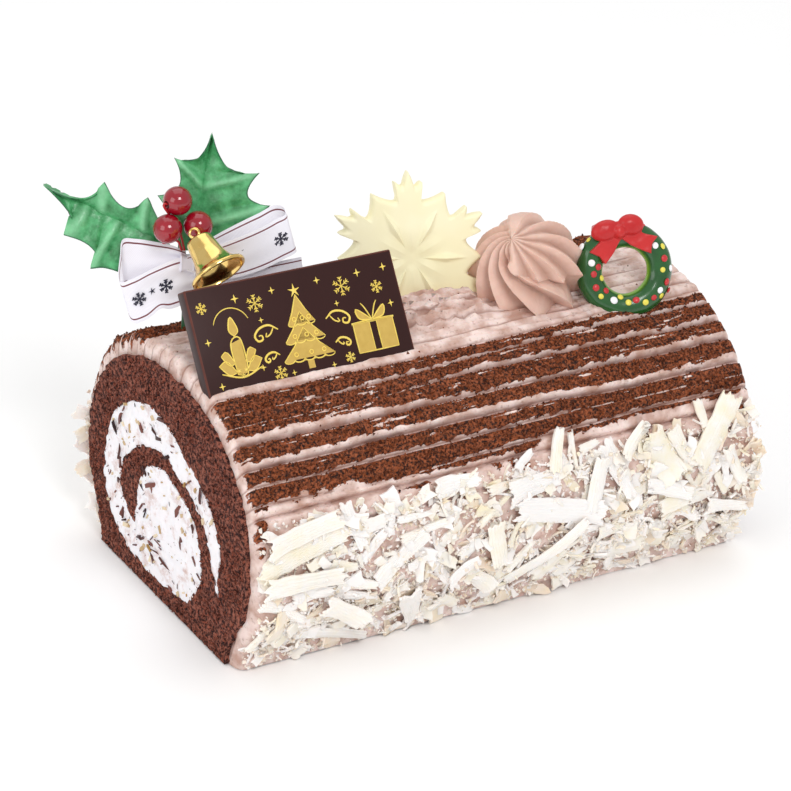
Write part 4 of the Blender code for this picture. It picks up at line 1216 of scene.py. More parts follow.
def flat_solid(shape, outline, low, high):
    """Adds a flat-sided solid between two heights, from an outline."""
    verts = [shape.verts.new((x, y, low)) for x, y in outline]
    face = shape.faces.new(verts)
    raised = bmesh.ops.extrude_face_region(shape, geom=[face], use_keep_orig=True)["geom"]
    raised = [vert for vert in raised if isinstance(vert, bmesh.types.BMVert)]
    bmesh.ops.translate(shape, vec=(0, 0, high - low), verts=raised)


def oval(shape, centre, radii, turn=0.0, segments=24):
    """Adds an ellipsoid, turned about Z."""
    place = Matrix.Translation(centre) @ Matrix.Rotation(math.radians(turn), 4, "Z") @ Matrix.Diagonal((*radii, 1))
    bmesh.ops.create_uvsphere(shape, u_segments=segments, v_segments=segments // 2, radius=1.0, matrix=place)


BOW_LOOPS = (
    (-9.9, 9.5), (-9.6, 12.4), (-7.0, 13.6), (-4.0, 13.4), (-2.0, 13.6), (0.4, 15.1), (2.6, 14.8),
    (3.9, 12.8), (3.9, 10.2), (0.6, 9.6), (-2.4, 8.4), (-6.0, 8.8),
)
BOW_TAIL_LEFT = ((-1.6, 9.4), (-4.0, 5.0), (-6.3, 1.9), (-7.8, 4.0), (-10.7, 5.3), (-7.6, 8.2), (-5.0, 10.0))
BOW_TAIL_RIGHT = ((-1.6, 8.8), (1.0, 7.0), (4.0, 5.6), (6.6, 4.6), (6.9, 7.3), (8.5, 9.3), (5.2, 10.0), (2.0, 11.2))


def bow_moulded(look):
    """The red bow: two plump loops, a knot and two tails, moulded in one."""
    shape = bmesh.new()
    front = WREATH_TUBE - 0.6
    flat_solid(shape, BOW_TAIL_LEFT, front - 1.6, front + 1.0)
    flat_solid(shape, BOW_TAIL_RIGHT, front - 1.6, front + 1.0)
    flat_solid(shape, BOW_LOOPS, front - 1.6, front + 1.1)
    oval(shape, (-6.3, 11.2, front + 0.5), (4.1, 2.9, 2.0), 16)
    oval(shape, (0.9, 12.6, front + 0.5), (3.7, 3.0, 2.1), -6)
    oval(shape, (-2.5, 10.9, front + 1.2), (2.0, 2.0, 1.8), 0)
    shape = remeshed(shape, 0.22, 5)
    points = places_of(shape)
    for vert, value in zip(shape.verts, rough(points, 3.0, 43, 2)):
        vert.co.z += 0.2 * value
    finished("wreath_bow_moulded", shape, [look], ["wreath_bow"], WREATH_FRAME, 80)


def sugar_dots(name, spots, radius, look, rng):
    """Round drops of coloured chocolate, set on the ring's face."""
    shape = bmesh.new()
    for x, y in spots:
        from_ring = (math.hypot(x, y) - WREATH_RADIUS) / WREATH_TUBE
        reach = max(0.08, 1 - min(1.0, from_ring**2))
        height = (WREATH_TUBE - 0.6) * math.sqrt(reach)
        size = radius * rng.uniform(0.86, 1.08)
        tilt = frame_along((x, y, height), (from_ring * x, from_ring * y, 9.0 * math.sqrt(reach)))
        place = tilt @ Matrix.Diagonal((size, size * rng.uniform(0.9, 1.05), 0.42 * size, 1))
        bmesh.ops.create_uvsphere(shape, u_segments=20, v_segments=10, radius=1.0, matrix=place)
    finished(name, shape, [look], (), WREATH_FRAME, 80)


# ---------------------------------------------------------------- the holly pick


KNOT = (-64.9, 23.0, 87.5)
PICK_TURN = -28.0
PICK_LEAN = 15.0
BERRY_RADIUS = 3.9
BERRIES = ((-3.3, 16.8, 2.5), (-5.7, 9.6, 4.4), (2.3, 10.4, 2.2))
BERRY_HOLES = ((-0.78, -0.22, 0.6), (-0.2, -0.9, -0.4), (0.3, -0.9, -0.3))
BELL_CROWN = (2.1, 8.2, 9.0)
BELL_AXIS = (0.514, -0.708, 0.477)
BELL_LENGTH = 11.6
BELL_MOUTH_RADIUS = 7.8
LEAF_BACK = -4.2

# Each leaf's outline from its base to its tip up one side, spines and hollows in turn, then the other side
LEAF_LEFT = (
    ((-4.0, 1.5), (-9.6, -1.6), (-15.5, -5.0), (-20.4, -2.4), (-25.8, -2.3), (-25.2, 2.6),
     (-33.0, 6.6), (-31.0, 10.6), (-38.9, 19.5)),
    ((-6.5, 7.0), (-8.4, 11.4), (-11.4, 17.2), (-17.2, 14.4), (-22.9, 20.9), (-28.4, 16.2), (-38.9, 19.5)),
)
LEAF_RIGHT = (
    ((-3.0, 3.0), (-4.2, 10.0), (-8.9, 17.9), (-3.2, 21.0), (-4.9, 28.2), (1.4, 28.2), (4.9, 34.7)),
    ((4.5, 3.0), (12.2, 8.2), (21.0, 16.2), (15.0, 18.6), (17.8, 24.9), (9.4, 26.0), (4.9, 34.7)),
)
PICK_FRAME = standing_frame(KNOT, PICK_TURN, PICK_LEAN)


def spined_side(points):
    """A leaf's side: hollows curve smoothly between its pointed spines."""
    side = []
    for start, hollow, end in zip(points[0::2], points[1::2], points[2::2]):
        start, hollow, end = (np.array(point, dtype=float) for point in (start, hollow, end))
        pull = 2 * hollow - (start + end) / 2
        for t in np.linspace(0, 1, 14, endpoint=False):
            side.append((1 - t) ** 2 * start + 2 * t * (1 - t) * pull + t * t * end)
    side.append(np.array(points[-1], dtype=float))
    return np.array(side)


def leaf_half(side, rib, spines):
    """One half of a leaf, from its midrib out to its spined side, with a raised vein to each spine."""
    steps = (len(side) - 1, 14)
    shape, shares = unit_grid(*steps)
    at = shares[:, 0] * steps[0]
    edge = np.column_stack([np.interp(at, np.arange(len(side)), side[:, i]) for i in range(2)])
    middle = np.column_stack([np.interp(at, np.arange(len(rib)), rib[:, i]) for i in range(2)])
    out = shares[:, 1]
    flat = middle + (edge - middle) * out[:, None]
    vein = np.zeros(len(out))
    for spine in spines:
        root = spine - 5.5
        from_vein = np.abs(at - (root + (spine - root) * out**0.8))
        vein = np.maximum(vein, np.clip(1 - from_vein / 2.1, 0, 1))
    return shape, flat, out, vein, at


def holly_leaf(name, node, sides, look, fold, curl, seed):
    """A stamped cloth leaf: two halves folded along the midrib, with embossed veins."""
    rib_start = (np.array(sides[0][0]) + np.array(sides[1][0])) / 2
    tip = np.array(sides[0][-1], dtype=float)
    whole = bmesh.new()
    layer = whole.verts.layers.float.new("edge")
    vein_layer = whole.verts.layers.float.new("vein")
    for points in sides:
        side = spined_side(points)
        rib = rib_start + np.linspace(0, 1, len(side))[:, None] * (tip - rib_start)
        spines = [14 * (i + 1) for i in range(len(points) // 2 - 1)]
        half, flat, out, vein, at = leaf_half(side, rib, spines)
        reach = np.linalg.norm(flat - (rib_start + tip) / 2, axis=1)
        spots = np.column_stack([flat, np.zeros(len(flat))])
        rise = (
            fold * np.sin(out * 1.4) * np.linalg.norm(flat - rib_start, axis=1) ** 0.3
            + 0.95 * vein * np.sin(math.pi * np.clip(out, 0.02, 1)) ** 0.5
            - 0.5 * np.clip(1 - out / 0.12, 0, 1)
            + 0.5 * curl * (reach / 20) ** 2 + 0.4 * rough(spots, 6.0, seed, 2)
            + 0.3 * np.sin(at * 0.9 - 5 * out) * np.sin(math.pi * out)
        )
        move_to(half, np.column_stack([flat, rise]))
        mesh = bpy.data.meshes.new("half")
        half.to_mesh(mesh)
        half.free()
        before = len(whole.verts)
        whole.from_mesh(mesh)
        bpy.data.meshes.remove(mesh)
        whole.verts.ensure_lookup_table()
        for vert, value, mark in zip(whole.verts[before:], out, vein):
            vert[layer] = value
            vert[vein_layer] = mark
    bmesh.ops.remove_doubles(whole, verts=whole.verts, dist=0.03)
    bmesh.ops.recalc_face_normals(whole, faces=whole.faces)
    thickened(whole, 0.35)
    place = PICK_FRAME @ Matrix.Translation((0.3, -0.7, LEAF_BACK))
    finished(name, whole, [look], [node], place, 60)


def leaf_material():
    """Stamped polyester cloth coated with green lacquer: satin, with painted light and shade in patches, a darker cut
    edge, paler along the veins.
    """
    made, tree, shader, spot = new_material("lacquered leaf cloth", 0.36)
    shader.inputs["Coat Weight"].default_value = 0.25
    shader.inputs["Coat Roughness"].default_value = 0.2
    # painted light and shade: the cloud noise spreads the green from dark to pale in patches, as highlights and shaded
    # hollows
    cloud = add(tree, "ShaderNodeTexNoise", {"Vector": spot, "Scale": per_mm(4), "Detail": 5.0, "Roughness": 0.65})
    lit = add(tree, "ShaderNodeMapRange", {"Value": cloud.outputs["Fac"], "From Min": 0.28, "From Max": 0.72})
    green = add(tree, "ShaderNodeMix", {
        0: lit.outputs[0], 6: linear("#12682f"), 7: linear("#62bf80"),
    }, data_type="RGBA")
    vein = add(tree, "ShaderNodeAttribute", attribute_name="vein").outputs["Fac"]
    paler = add(tree, "ShaderNodeMapRange", {"Value": vein, "To Max": 0.55})
    veined = add(tree, "ShaderNodeMix", {
        0: paler.outputs[0], 6: green.outputs[2], 7: linear("#9be0ae"),
    }, data_type="RGBA")
    out = add(tree, "ShaderNodeAttribute", attribute_name="edge").outputs["Fac"]
    cut = add(tree, "ShaderNodeMapRange", {"Value": out, "From Min": 0.955, "From Max": 0.985})
    colour = add(tree, "ShaderNodeMix", {
        0: cut.outputs[0], 6: veined.outputs[2], 7: linear("#0d5a33"),
    }, data_type="RGBA")
    tree.links.new(colour.outputs[2], shader.inputs["Base Color"])
    crumple = add(tree, "ShaderNodeTexNoise", {"Vector": spot, "Scale": per_mm(1.7), "Detail": 4.0})
    bump = add(tree, "ShaderNodeBump", {"Height": crumple.outputs["Fac"], "Strength": 0.9, "Distance": 0.4 * MM})
    tree.links.new(bump.outputs[0], shader.inputs["Normal"])
    return made


def berry_material():
    """A lacquered bead: deep glossy red with a little shading in its coats, and painted shade, near black, in its
    drilled hole.
    """
    made, tree, shader, spot = new_material("red lacquered bead", 0.12)
    shader.inputs["Coat Weight"].default_value = 0.6
    shader.inputs["Coat Roughness"].default_value = 0.05
    cloud = add(tree, "ShaderNodeTexNoise", {"Vector": spot, "Scale": per_mm(4), "Detail": 3.0})
    red = add(tree, "ShaderNodeMix", {
        0: cloud.outputs["Fac"], 6: linear("#7d0518"), 7: linear("#a80c24"),
    }, data_type="RGBA")
    # painted shade: the drilled hole is painted near black
    hole = add(tree, "ShaderNodeAttribute", attribute_name="hole").outputs["Fac"]
    colour = add(tree, "ShaderNodeMix", {0: hole, 6: red.outputs[2], 7: linear("#22060a")}, data_type="RGBA")
    tree.links.new(colour.outputs[2], shader.inputs["Base Color"])
    return made


def berry_bead(number, spot, hole, look):
    """A bead with a drilled hole, threaded on its wire."""
    shape = bmesh.new()
    bmesh.ops.create_uvsphere(shape, u_segments=48, v_segments=32, radius=BERRY_RADIUS)
    # marks the sunken hole for painted shade in the bead's material
    layer = shape.verts.layers.float.new("hole")
    for vert in shape.verts:
        from_pole = vert.co.xy.length
        depth = max(0.0, min(1.0, (1.05 - from_pole) / 0.35))
        if vert.co.z > 0:
            vert.co.z -= 1.3 * depth
            vert[layer] = depth
    place = PICK_FRAME @ frame_along(spot, hole)
    finished(f"berry_bead_{number}", shape, [look], [f"berry_{number}"], place, 60)


def rope(points, radius, sides=8):
    """A thin closed tube along the points."""
    points = [Vector(point) for point in points]
    shape = bmesh.new()
    ring = bmesh.ops.create_circle(shape, cap_ends=False, segments=sides, radius=radius)["verts"]
    section = [vert.co.copy() for vert in ring]
    edges = shape.edges[:]
    for i, point in enumerate(points):
        ahead = points[min(i + 1, len(points) - 1)] - points[max(i - 1, 0)]
        frame = ahead.to_track_quat("Z", "Y").to_matrix()
        if i:
            grown = bmesh.ops.extrude_edge_only(shape, edges=edges)["geom"]
            ring = [item for item in grown if isinstance(item, bmesh.types.BMVert)]
            edges = [item for item in grown if isinstance(item, bmesh.types.BMEdge) and item.is_boundary]
        for vert, corner in zip(ring, section):
            vert.co = point + frame @ corner
    open_edges = [edge for edge in shape.edges if edge.is_boundary]
    bmesh.ops.holes_fill(shape, edges=open_edges, sides=0)
    return shape


def berry_wires(look):
    """Thin red wires that run from the knot into each bead."""
    for number, ((x, y, z), hole) in enumerate(zip(BERRIES, BERRY_HOLES), 1):
        mouth = Vector((x, y, z)) + Vector(hole).normalized() * (BERRY_RADIUS - 1.0)
        out = Vector((x, y, z)) + Vector(hole).normalized() * (BERRY_RADIUS + 0.8)
        start = Vector((0.3 * x, 3.0, -1.0))
        low = Vector((0.55 * x - 1.0 * (number == 1), 0.45 * y + 1.5, z * 0.3 - 0.6))
        path = curve_through([start, low, out, mouth], 0.6)
        shape = rope(path, 0.32)
        finished(f"berry_stem_{number}", shape, [look], [f"berry_wire_{number}"], PICK_FRAME, 80)


def turned(profile, steps):
    """A closed solid from a profile of (radius, height) turned about Z."""
    shape = bmesh.new()
    verts = [shape.verts.new((radius, 0, height)) for radius, height in profile]
    edges = [shape.edges.new(pair) for pair in zip(verts, verts[1:])]
    bmesh.ops.spin(
        shape, geom=verts + edges, axis=(0, 0, 1), cent=(0, 0, 0),
        angle=2 * math.pi, steps=steps, use_merge=True,
    )
    bmesh.ops.remove_doubles(shape, verts=shape.verts, dist=0.002)
    return shape


def bell_pieces(gold):
    """A pressed bell with a flat crown and a rolled, flared lip; its ring and its clapper."""
    mouth, length = BELL_MOUTH_RADIUS, BELL_LENGTH
    outside = curve_through([
        (3.15, 0.25), (3.55, 0.8), (3.85, 2.6), (4.25, 5.2), (4.95, 7.6), (5.9, 9.2), (6.8, 10.1), (7.3, 10.45),
    ], 0.35)
    lip = [(7.3, 10.4), (7.55, 10.45), (mouth, 10.75), (mouth, 11.2), (mouth - 0.15, 11.5), (mouth - 0.5, length)]
    inside_curve = curve_through([
        (mouth - 0.8, 11.4), (6.7, 10.6), (5.6, 9.5), (4.6, 7.8), (3.9, 5.2), (3.5, 2.6), (3.1, 1.2), (2.6, 0.9),
    ], 0.5)
    profile = [(0.0, 0.0), (1.6, 0.0), (2.7, 0.05), *outside, *lip, *inside_curve, (0.0, 0.85)]
    place = PICK_FRAME @ frame_along(BELL_CROWN, BELL_AXIS)
    finished("bell_shell", turned(profile, 72), [gold], ["bell"], place, 40)
    stem = turned([(0.0, -0.3), (1.5, -0.3), (1.5, -0.05), (0.9, 0.1), (0.9, 0.5), (0.0, 0.5)], 32)
    finished("bell_washer", stem, [gold], (), place, 40)
    loop = torus(1.25, 0.38, 0.38, 48, 14)
    loop_place = place @ Matrix.Translation((0, 0, -1.7)) @ Matrix.Rotation(math.radians(90), 4, "X")
    finished("bell_ring", loop, [gold], ["bell_loop"], loop_place, 80)
    clapper = turned([
        (0.0, 1.0), (0.28, 1.0), (0.28, 5.2), (0.8, 5.5), (1.35, 6.3), (1.5, 7.2), (1.2, 8.2), (0.6, 8.8), (0.0, 8.95),
    ], 32)
    finished("bell_tongue", clapper, [gold], ["bell_clapper"], place, 50)


def gold_material(name="gold plated tin", roughness=0.13):
    """Pressed tin with a bright gold plating: mirror-like, with fine handling marks."""
    made, tree, shader, spot = new_material(name, roughness, Metallic=1.0)
    wear = add(tree, "ShaderNodeTexNoise", {"Vector": spot, "Scale": per_mm(3), "Detail": 5.0})
    colour = add(tree, "ShaderNodeMix", {
        0: wear.outputs["Fac"], 6: linear("#e6b85c"), 7: linear("#f8e09a"),
    }, data_type="RGBA")
    tree.links.new(colour.outputs[2], shader.inputs["Base Color"])
    fine = add(tree, "ShaderNodeTexNoise", {"Vector": spot, "Scale": per_mm(1.4), "Detail": 3.0})
    bump = add(tree, "ShaderNodeBump", {"Height": fine.outputs["Fac"], "Strength": 0.25, "Distance": 0.05 * MM})
    tree.links.new(bump.outputs[0], shader.inputs["Normal"])
    return made


def plain_material(name, colour, paler, roughness, size=3.0):
    """A smooth coated surface with a little variation in its colour."""
    made, tree, shader, spot = new_material(name, roughness)
    cloud = add(tree, "ShaderNodeTexNoise", {"Vector": spot, "Scale": per_mm(size), "Detail": 3.0})
    mixed = add(tree, "ShaderNodeMix", {
        0: cloud.outputs["Fac"], 6: linear(colour), 7: linear(paler),
    }, data_type="RGBA")
    tree.links.new(mixed.outputs[2], shader.inputs["Base Color"])
    return made


# ---------------------------------------------------------------- the ribbon


RIBBON_WIDTH = 12.7
RIBBON_THICK = 0.25

# Stations along each part of the ribbon: its upper edge, its lower edge, and how far forward it is
RIBBON_LEFT = (
    ((-0.6, 2.4), (-0.6, -1.6), -1.2, -1.2),
    ((-4.0, 3.8), (-4.0, -4.2), -1.7, -1.4),
    ((-9.0, 4.8), (-9.0, -6.4), -2.0, -1.6),
    ((-14.0, 5.4), (-14.2, -6.9), -1.9, -1.5),
    ((-17.0, 5.5), (-16.8, -7.4), -1.2, -0.8),
    ((-17.9, 1.6), (-15.8, -12.4), 0.3, 0.9),
    ((-17.6, -5.8), (-13.4, -16.6), 1.5, 2.0),
    ((-14.6, -4.6), (-10.4, -15.4), 2.2, 2.4),
    ((-9.8, -1.9), (-6.6, -12.2), 2.6, 2.4),
    ((-5.2, 0.4), (-4.2, -12.3), 2.4, 2.0),
    ((-2.0, 1.5), (-1.2, -11.2), 2.0, 1.6),
    ((1.4, 1.8), (2.4, -9.2), 1.4, 1.2),
)
RIBBON_RIGHT = (
    ((0.6, 2.6), (0.6, -1.4), -1.2, -1.2),
    ((5.8, 6.3), (6.6, -2.4), -1.9, -1.4),
    ((12.0, 10.0), (14.0, -0.6), -2.1, -1.6),
    ((18.0, 13.3), (21.0, 2.2), -2.1, -1.6),
    ((23.0, 15.8), (26.6, 4.4), -1.6, -1.2),
    ((24.6, 15.6), (28.2, 4.4), -0.4, 0.2),
    ((25.2, 14.4), (28.2, 3.9), 0.9, 1.5),
    ((22.6, 12.6), (24.6, 1.8), 1.7, 2.1),
    ((16.0, 9.0), (17.6, -1.6), 2.2, 2.4),
    ((9.0, 5.8), (10.0, -3.6), 2.3, 2.3),
    ((3.6, 3.4), (3.6, -2.8), 2.0, 2.0),
    ((-0.2, 1.9), (-0.2, -1.7), 1.6, 1.6),
)
RIBBON_TAIL = (
    ((2.0, -0.4), (2.0, -5.6), -0.8, -0.8),
    ((9.0, -1.0), (9.0, -8.6), -1.4, -1.2),
    ((17.0, -1.0), (16.4, -10.4), -2.0, -1.6),
    ((24.0, 0.6), (24.8, -9.6), -2.1, -1.7),
    ((30.0, 2.2), (31.6, -7.6), -1.7, -1.3),
)


class Strip:
    """A ribbon's surface between two edge lines, found by its shares along and across."""

    def __init__(self, stations):
        tops = np.array([(*top, forward) for top, _, forward, _ in stations])
        bottoms = np.array([(*bottom, forward) for _, bottom, _, forward in stations])
        middle = (tops + bottoms) / 2
        run = np.concatenate([[0.0], np.cumsum(np.linalg.norm(np.diff(middle, axis=0), axis=1))])
        self.length = float(run[-1])
        even = np.linspace(0, self.length, 161)
        self.tops = self.smooth(run, tops, even)
        self.bottoms = self.smooth(run, bottoms, even)

    def smooth(self, run, points, even):
        """A smooth line through the stations, found at even distances."""
        slopes = np.gradient(points, run, axis=0)
        place = np.clip(np.searchsorted(run, even, side="right") - 1, 0, len(run) - 2)
        span = run[place + 1] - run[place]
        t = ((even - run[place]) / span)[:, None]
        a, b = points[place], points[place + 1]
        u, v = slopes[place] * span[:, None], slopes[place + 1] * span[:, None]
        return (2*t**3 - 3*t**2 + 1) * a + (t**3 - 2*t**2 + t) * u + (3*t**2 - 2*t**3) * b + (t**3 - t**2) * v

    def at(self, along, across):
        """Places on the ribbon; across runs from 0 at its lower edge to 1 at its upper edge."""
        spot = np.asarray(along) * 160
        tops = np.column_stack([np.interp(spot, np.arange(161), self.tops[:, i]) for i in range(3)])
        bottoms = np.column_stack([np.interp(spot, np.arange(161), self.bottoms[:, i]) for i in range(3)])
        return bottoms + np.asarray(across)[:, None] * (tops - bottoms)


def ribbon_part(name, node, stations, look, pleats, seed):
    """One part of the ribbon: woven cloth with gathered pleats towards the knot, bowed a little across."""
    strip = Strip(stations)
    shape, shares = unit_grid(150, 22)
    along, across = shares[:, 0], shares[:, 1]
    points = strip.at(along, across)
    near_knot = np.minimum(along, 1 - along if len(stations) > 6 else 1 + along)
    gather = np.exp(-near_knot * 9)
    points[:, 2] += gather * 0.8 * np.sin(across * math.pi * pleats + 1.0)
    points[:, 2] += 0.25 * rough(np.column_stack([points[:, :2], 0 * along]), 9.0, seed, 2)
    points[:, 2] += 0.35 * np.sin(math.pi * across) * np.sin(math.pi * along * 2)
    move_to(shape, points)
    layer = shape.loops.layers.uv.new("UVMap")
    uv = {vert: share for vert, share in zip(shape.verts, shares)}
    length = strip.length
    for face in shape.faces:
        for loop in face.loops:
            a, b = uv[loop.vert]
            loop[layer].uv = (a * length / RIBBON_WIDTH, b)
    thickened(shape, RIBBON_THICK)
    piece = finished(name, shape, [look], [node], PICK_FRAME, 60)
    return piece, strip


def ribbon_material():
    """White taffeta ribbon: a fine cross weave, a little sheen, and a thin dark red line near each edge."""
    made, tree, shader, spot = new_material("woven ribbon", 0.55)
    shader.inputs["Sheen Weight"].default_value = 0.3
    shader.inputs["Sheen Roughness"].default_value = 0.4
    uv = add(tree, "ShaderNodeUVMap", uv_map="UVMap").outputs["UV"]
    split = add(tree, "ShaderNodeSeparateXYZ", {"Vector": uv})
    middle = add(tree, "ShaderNodeMath", {0: split.outputs["Y"], 1: 0.5}, operation="SUBTRACT")
    from_middle = add(tree, "ShaderNodeMath", {0: middle.outputs[0]}, operation="ABSOLUTE")
    from_line = add(tree, "ShaderNodeMath", {0: from_middle.outputs[0], 1: 0.405}, operation="SUBTRACT")
    gap = add(tree, "ShaderNodeMath", {0: from_line.outputs[0]}, operation="ABSOLUTE")
    line = add(tree, "ShaderNodeMapRange", {
        "Value": gap.outputs[0], "From Min": 0.012, "From Max": 0.022, "To Min": 1.0, "To Max": 0.0,
    })
    threads = add(tree, "ShaderNodeTexWave", {
        "Vector": uv, "Scale": 17.0, "Distortion": 0.3, "Detail": 1.0,
    }, bands_direction="DIAGONAL")
    cloth = add(tree, "ShaderNodeMix", {
        0: threads.outputs["Fac"], 6: linear("#ebe8f4"), 7: linear("#faf9fe"),
    }, data_type="RGBA")
    colour = add(tree, "ShaderNodeMix", {
        0: line.outputs[0], 6: cloth.outputs[2], 7: linear("#6e1824"),
    }, data_type="RGBA")
    tree.links.new(colour.outputs[2], shader.inputs["Base Color"])
    bump = add(tree, "ShaderNodeBump", {"Height": threads.outputs["Fac"], "Strength": 0.4, "Distance": 0.06 * MM})
    tree.links.new(bump.outputs[0], shader.inputs["Normal"])
    return made


def ribbon_motifs(name, strip, spots, look):
    """Small dark snow crystals and stars printed along the middle of the ribbon."""
    shape = bmesh.new()
    for number, (along, size) in enumerate(spots):
        start = len(shape.verts)
        if number % 2:
            sparkle(shape, (0, 0), size * 0.8, 5)
        else:
            snow_crystal(shape, (0, 0), size, 0.5)
        shape.verts.ensure_lookup_table()
        made = shape.verts[start:]
        flat = np.array([vert.co for vert in made])
        a = along + flat[:, 0] / strip.length
        b = 0.5 + flat[:, 1] / RIBBON_WIDTH
        there = strip.at(a, b)
        bow = 0.35 * np.sin(math.pi * b) * np.sin(math.pi * a * 2)
        for vert, point, high, lift in zip(made, there, flat[:, 2], bow):
            vert.co = (point[0], point[1], point[2] + lift + 0.28 + 0.4 * high)
    finished(name, shape, [look], (), PICK_FRAME, 30)


def ribbon_bow(look, ink):
    """The bow's two loops, its tail and the band round its middle."""
    left, left_strip = ribbon_part("ribbon_loop_left", "ribbon_left", RIBBON_LEFT, look, 5.0, 51)
    right, right_strip = ribbon_part("ribbon_loop_right", "ribbon_right", RIBBON_RIGHT, look, 4.6, 52)
    tail, tail_strip = ribbon_part("ribbon_end", "ribbon_tail", RIBBON_TAIL, look, 3.2, 53)
    ribbon_motifs("ribbon_print_left", left_strip, ((0.66, 1.9), (0.745, 1.5), (0.83, 1.9)), ink)
    ribbon_motifs("ribbon_print_right", right_strip, ((0.56, 1.9), (0.65, 1.5), (0.74, 1.9), (0.83, 1.4)), ink)
    shape = bmesh.new()
    bmesh.ops.create_cube(shape, size=1.0)
    bmesh.ops.scale(shape, vec=(4.2, 5.2, 5.0), verts=shape.verts)
    bmesh.ops.subdivide_edges(shape, edges=shape.edges[:], cuts=7, use_grid_fill=True)
    for vert in shape.verts:
        pinch = 1 - 0.3 * math.cos(math.pi * vert.co.x / 5.0)
        vert.co.y *= pinch
        vert.co.z *= 0.9 + 0.1 * pinch
    bmesh.ops.bevel(shape, geom=[e for e in shape.edges if e.calc_face_angle(0) > 1.0], affect="EDGES",
                    offset=0.5, segments=2, profile=0.5, material=-1)
    shape.loops.layers.uv.new("UVMap")
    bmesh.ops.translate(shape, vec=(0, 0, 0.2), verts=shape.verts)
    finished("ribbon_band", shape, [look], ["ribbon_knot"], PICK_FRAME, 60)


# ---------------------------------------------------------------- scattered pieces


def repeated(name, templates, places, tints, looks, sharp=30.0):
    """One piece that repeats a few small shapes at many places, each with its own tint."""
    rng = np.random.default_rng(len(places))
    kinds = rng.integers(0, len(templates), len(places))
    points, faces, shades, start = [], [], [], 0
    for kind, template in enumerate(templates):
        template.verts.index_update()
        bmesh.ops.triangulate(template, faces=template.faces)
        corners = places_of(template)
        triangles = np.array([[vert.index for vert in face.verts] for face in template.faces])
        template.free()
        chosen = np.array([places[i] for i in np.flatnonzero(kinds == kind)])
        if not len(chosen):
            continue
        spots = np.einsum("nij,kj->nki", chosen[:, :3, :3], corners) + chosen[:, None, :3, 3]
        steps = start + np.arange(len(chosen))[:, None, None] * len(corners)
        points.append(spots.reshape(-1, 3))
        faces.append((triangles[None] + steps).reshape(-1, 3))
        shades.append(np.repeat(np.asarray(tints)[kinds == kind], len(corners)))
        start += len(chosen) * len(corners)
    points = np.concatenate(points)
    points[:, 2] = np.maximum(points[:, 2], 0.05)
    mesh = bpy.data.meshes.new(name)
    mesh.from_pydata(points * MM, [], np.concatenate(faces).tolist())
    paint(mesh, "tint", np.concatenate(shades))
    return placed(name, mesh, looks, (), sharp)


def shard_template(rng, width, thick, bend, steps=(6, 2)):
    """A thin broken plate, one unit long, with ragged ends and a slight bend."""
    shape, shares = unit_grid(*steps)
    along, across = shares[:, 0] - 0.5, shares[:, 1] - 0.5
    ends = 1 + 0.35 * np.array([rng.uniform(-1, 0.4) for _ in along]) * (np.abs(along) > 0.45)
    sides = np.array([rng.uniform(0.72, 1.1) for _ in along])
    taper = 1 - rng.uniform(0.0, 0.6) * (along + 0.5)
    lift = bend * (along**2 - 0.12) + 0.3 * bend * across
    move_to(shape, np.column_stack([along * ends, across * width * sides * taper, lift]))
    thickened(shape, thick)
    bmesh.ops.recalc_face_normals(shape, faces=shape.faces)
    return shape


def crumb_template(rng):
    """A small broken lump."""
    shape = bmesh.new()
    bmesh.ops.create_cube(shape, size=1.0)
    for vert in shape.verts:
        vert.co = Vector([axis * rng.uniform(0.45, 1.1) for axis in vert.co])
    return shape


def grain_template(rng):
    """A grain of powder, with only four faces."""
    shape = bmesh.new()
    bmesh.ops.create_cone(shape, cap_ends=True, segments=3, radius1=0.6, radius2=0.0, depth=0.9)
    for vert in shape.verts:
        vert.co = Vector([axis * rng.uniform(0.8, 1.2) for axis in vert.co])
    return shape


def wall_frame(x, run, out):
    """A frame on the coat: X along the log, Y up round it and Z out from it."""
    here = on_coat([x, x, x], [run - 0.5, run, run + 0.5], [out] * 3)
    up = Vector(here[2] - here[0]).normalized()
    along = Vector((1, 0, 0))
    outwards = along.cross(up)
    turn = Matrix((along, up, outwards)).transposed().to_4x4()
    return Matrix.Translation(here[1]) @ turn


def tumbled(frame, rng, size, turn=180.0, tilt=25.0):
    """A place on a frame, turned and tilted at random, at one size or one for each axis."""
    spin = Matrix.Rotation(math.radians(rng.uniform(-turn, turn)), 4, "Z")
    lean = Matrix.Rotation(math.radians(rng.uniform(-tilt, tilt)), 4, "Y")
    roll = Matrix.Rotation(math.radians(rng.uniform(-tilt, tilt)), 4, "X")
    sizes = size if hasattr(size, "__len__") else (size,) * 3
    return frame @ spin @ lean @ roll @ Matrix.Diagonal((*sizes, 1))


def run_at(height, side):
    """The distance round the coat at a height on its front (-1) or back (1)."""
    half = len(OUTSIDE_RUN) // 2
    run = float(np.interp(height, OUTSIDE[:half, 1], OUTSIDE_RUN[:half]))
    return run if side < 0 else OUTSIDE_LENGTH - run


def shaving_run(rng, side):
    """A random distance round the coat for a shaving, on its front (-1) or back (1)."""
    run = 1.0 + (47.5 if side < 0 else 40.0) * rng.random() ** 0.95
    return run if side < 0 else OUTSIDE_LENGTH - run


# ---------------------------------------------------------------- white chocolate shavings


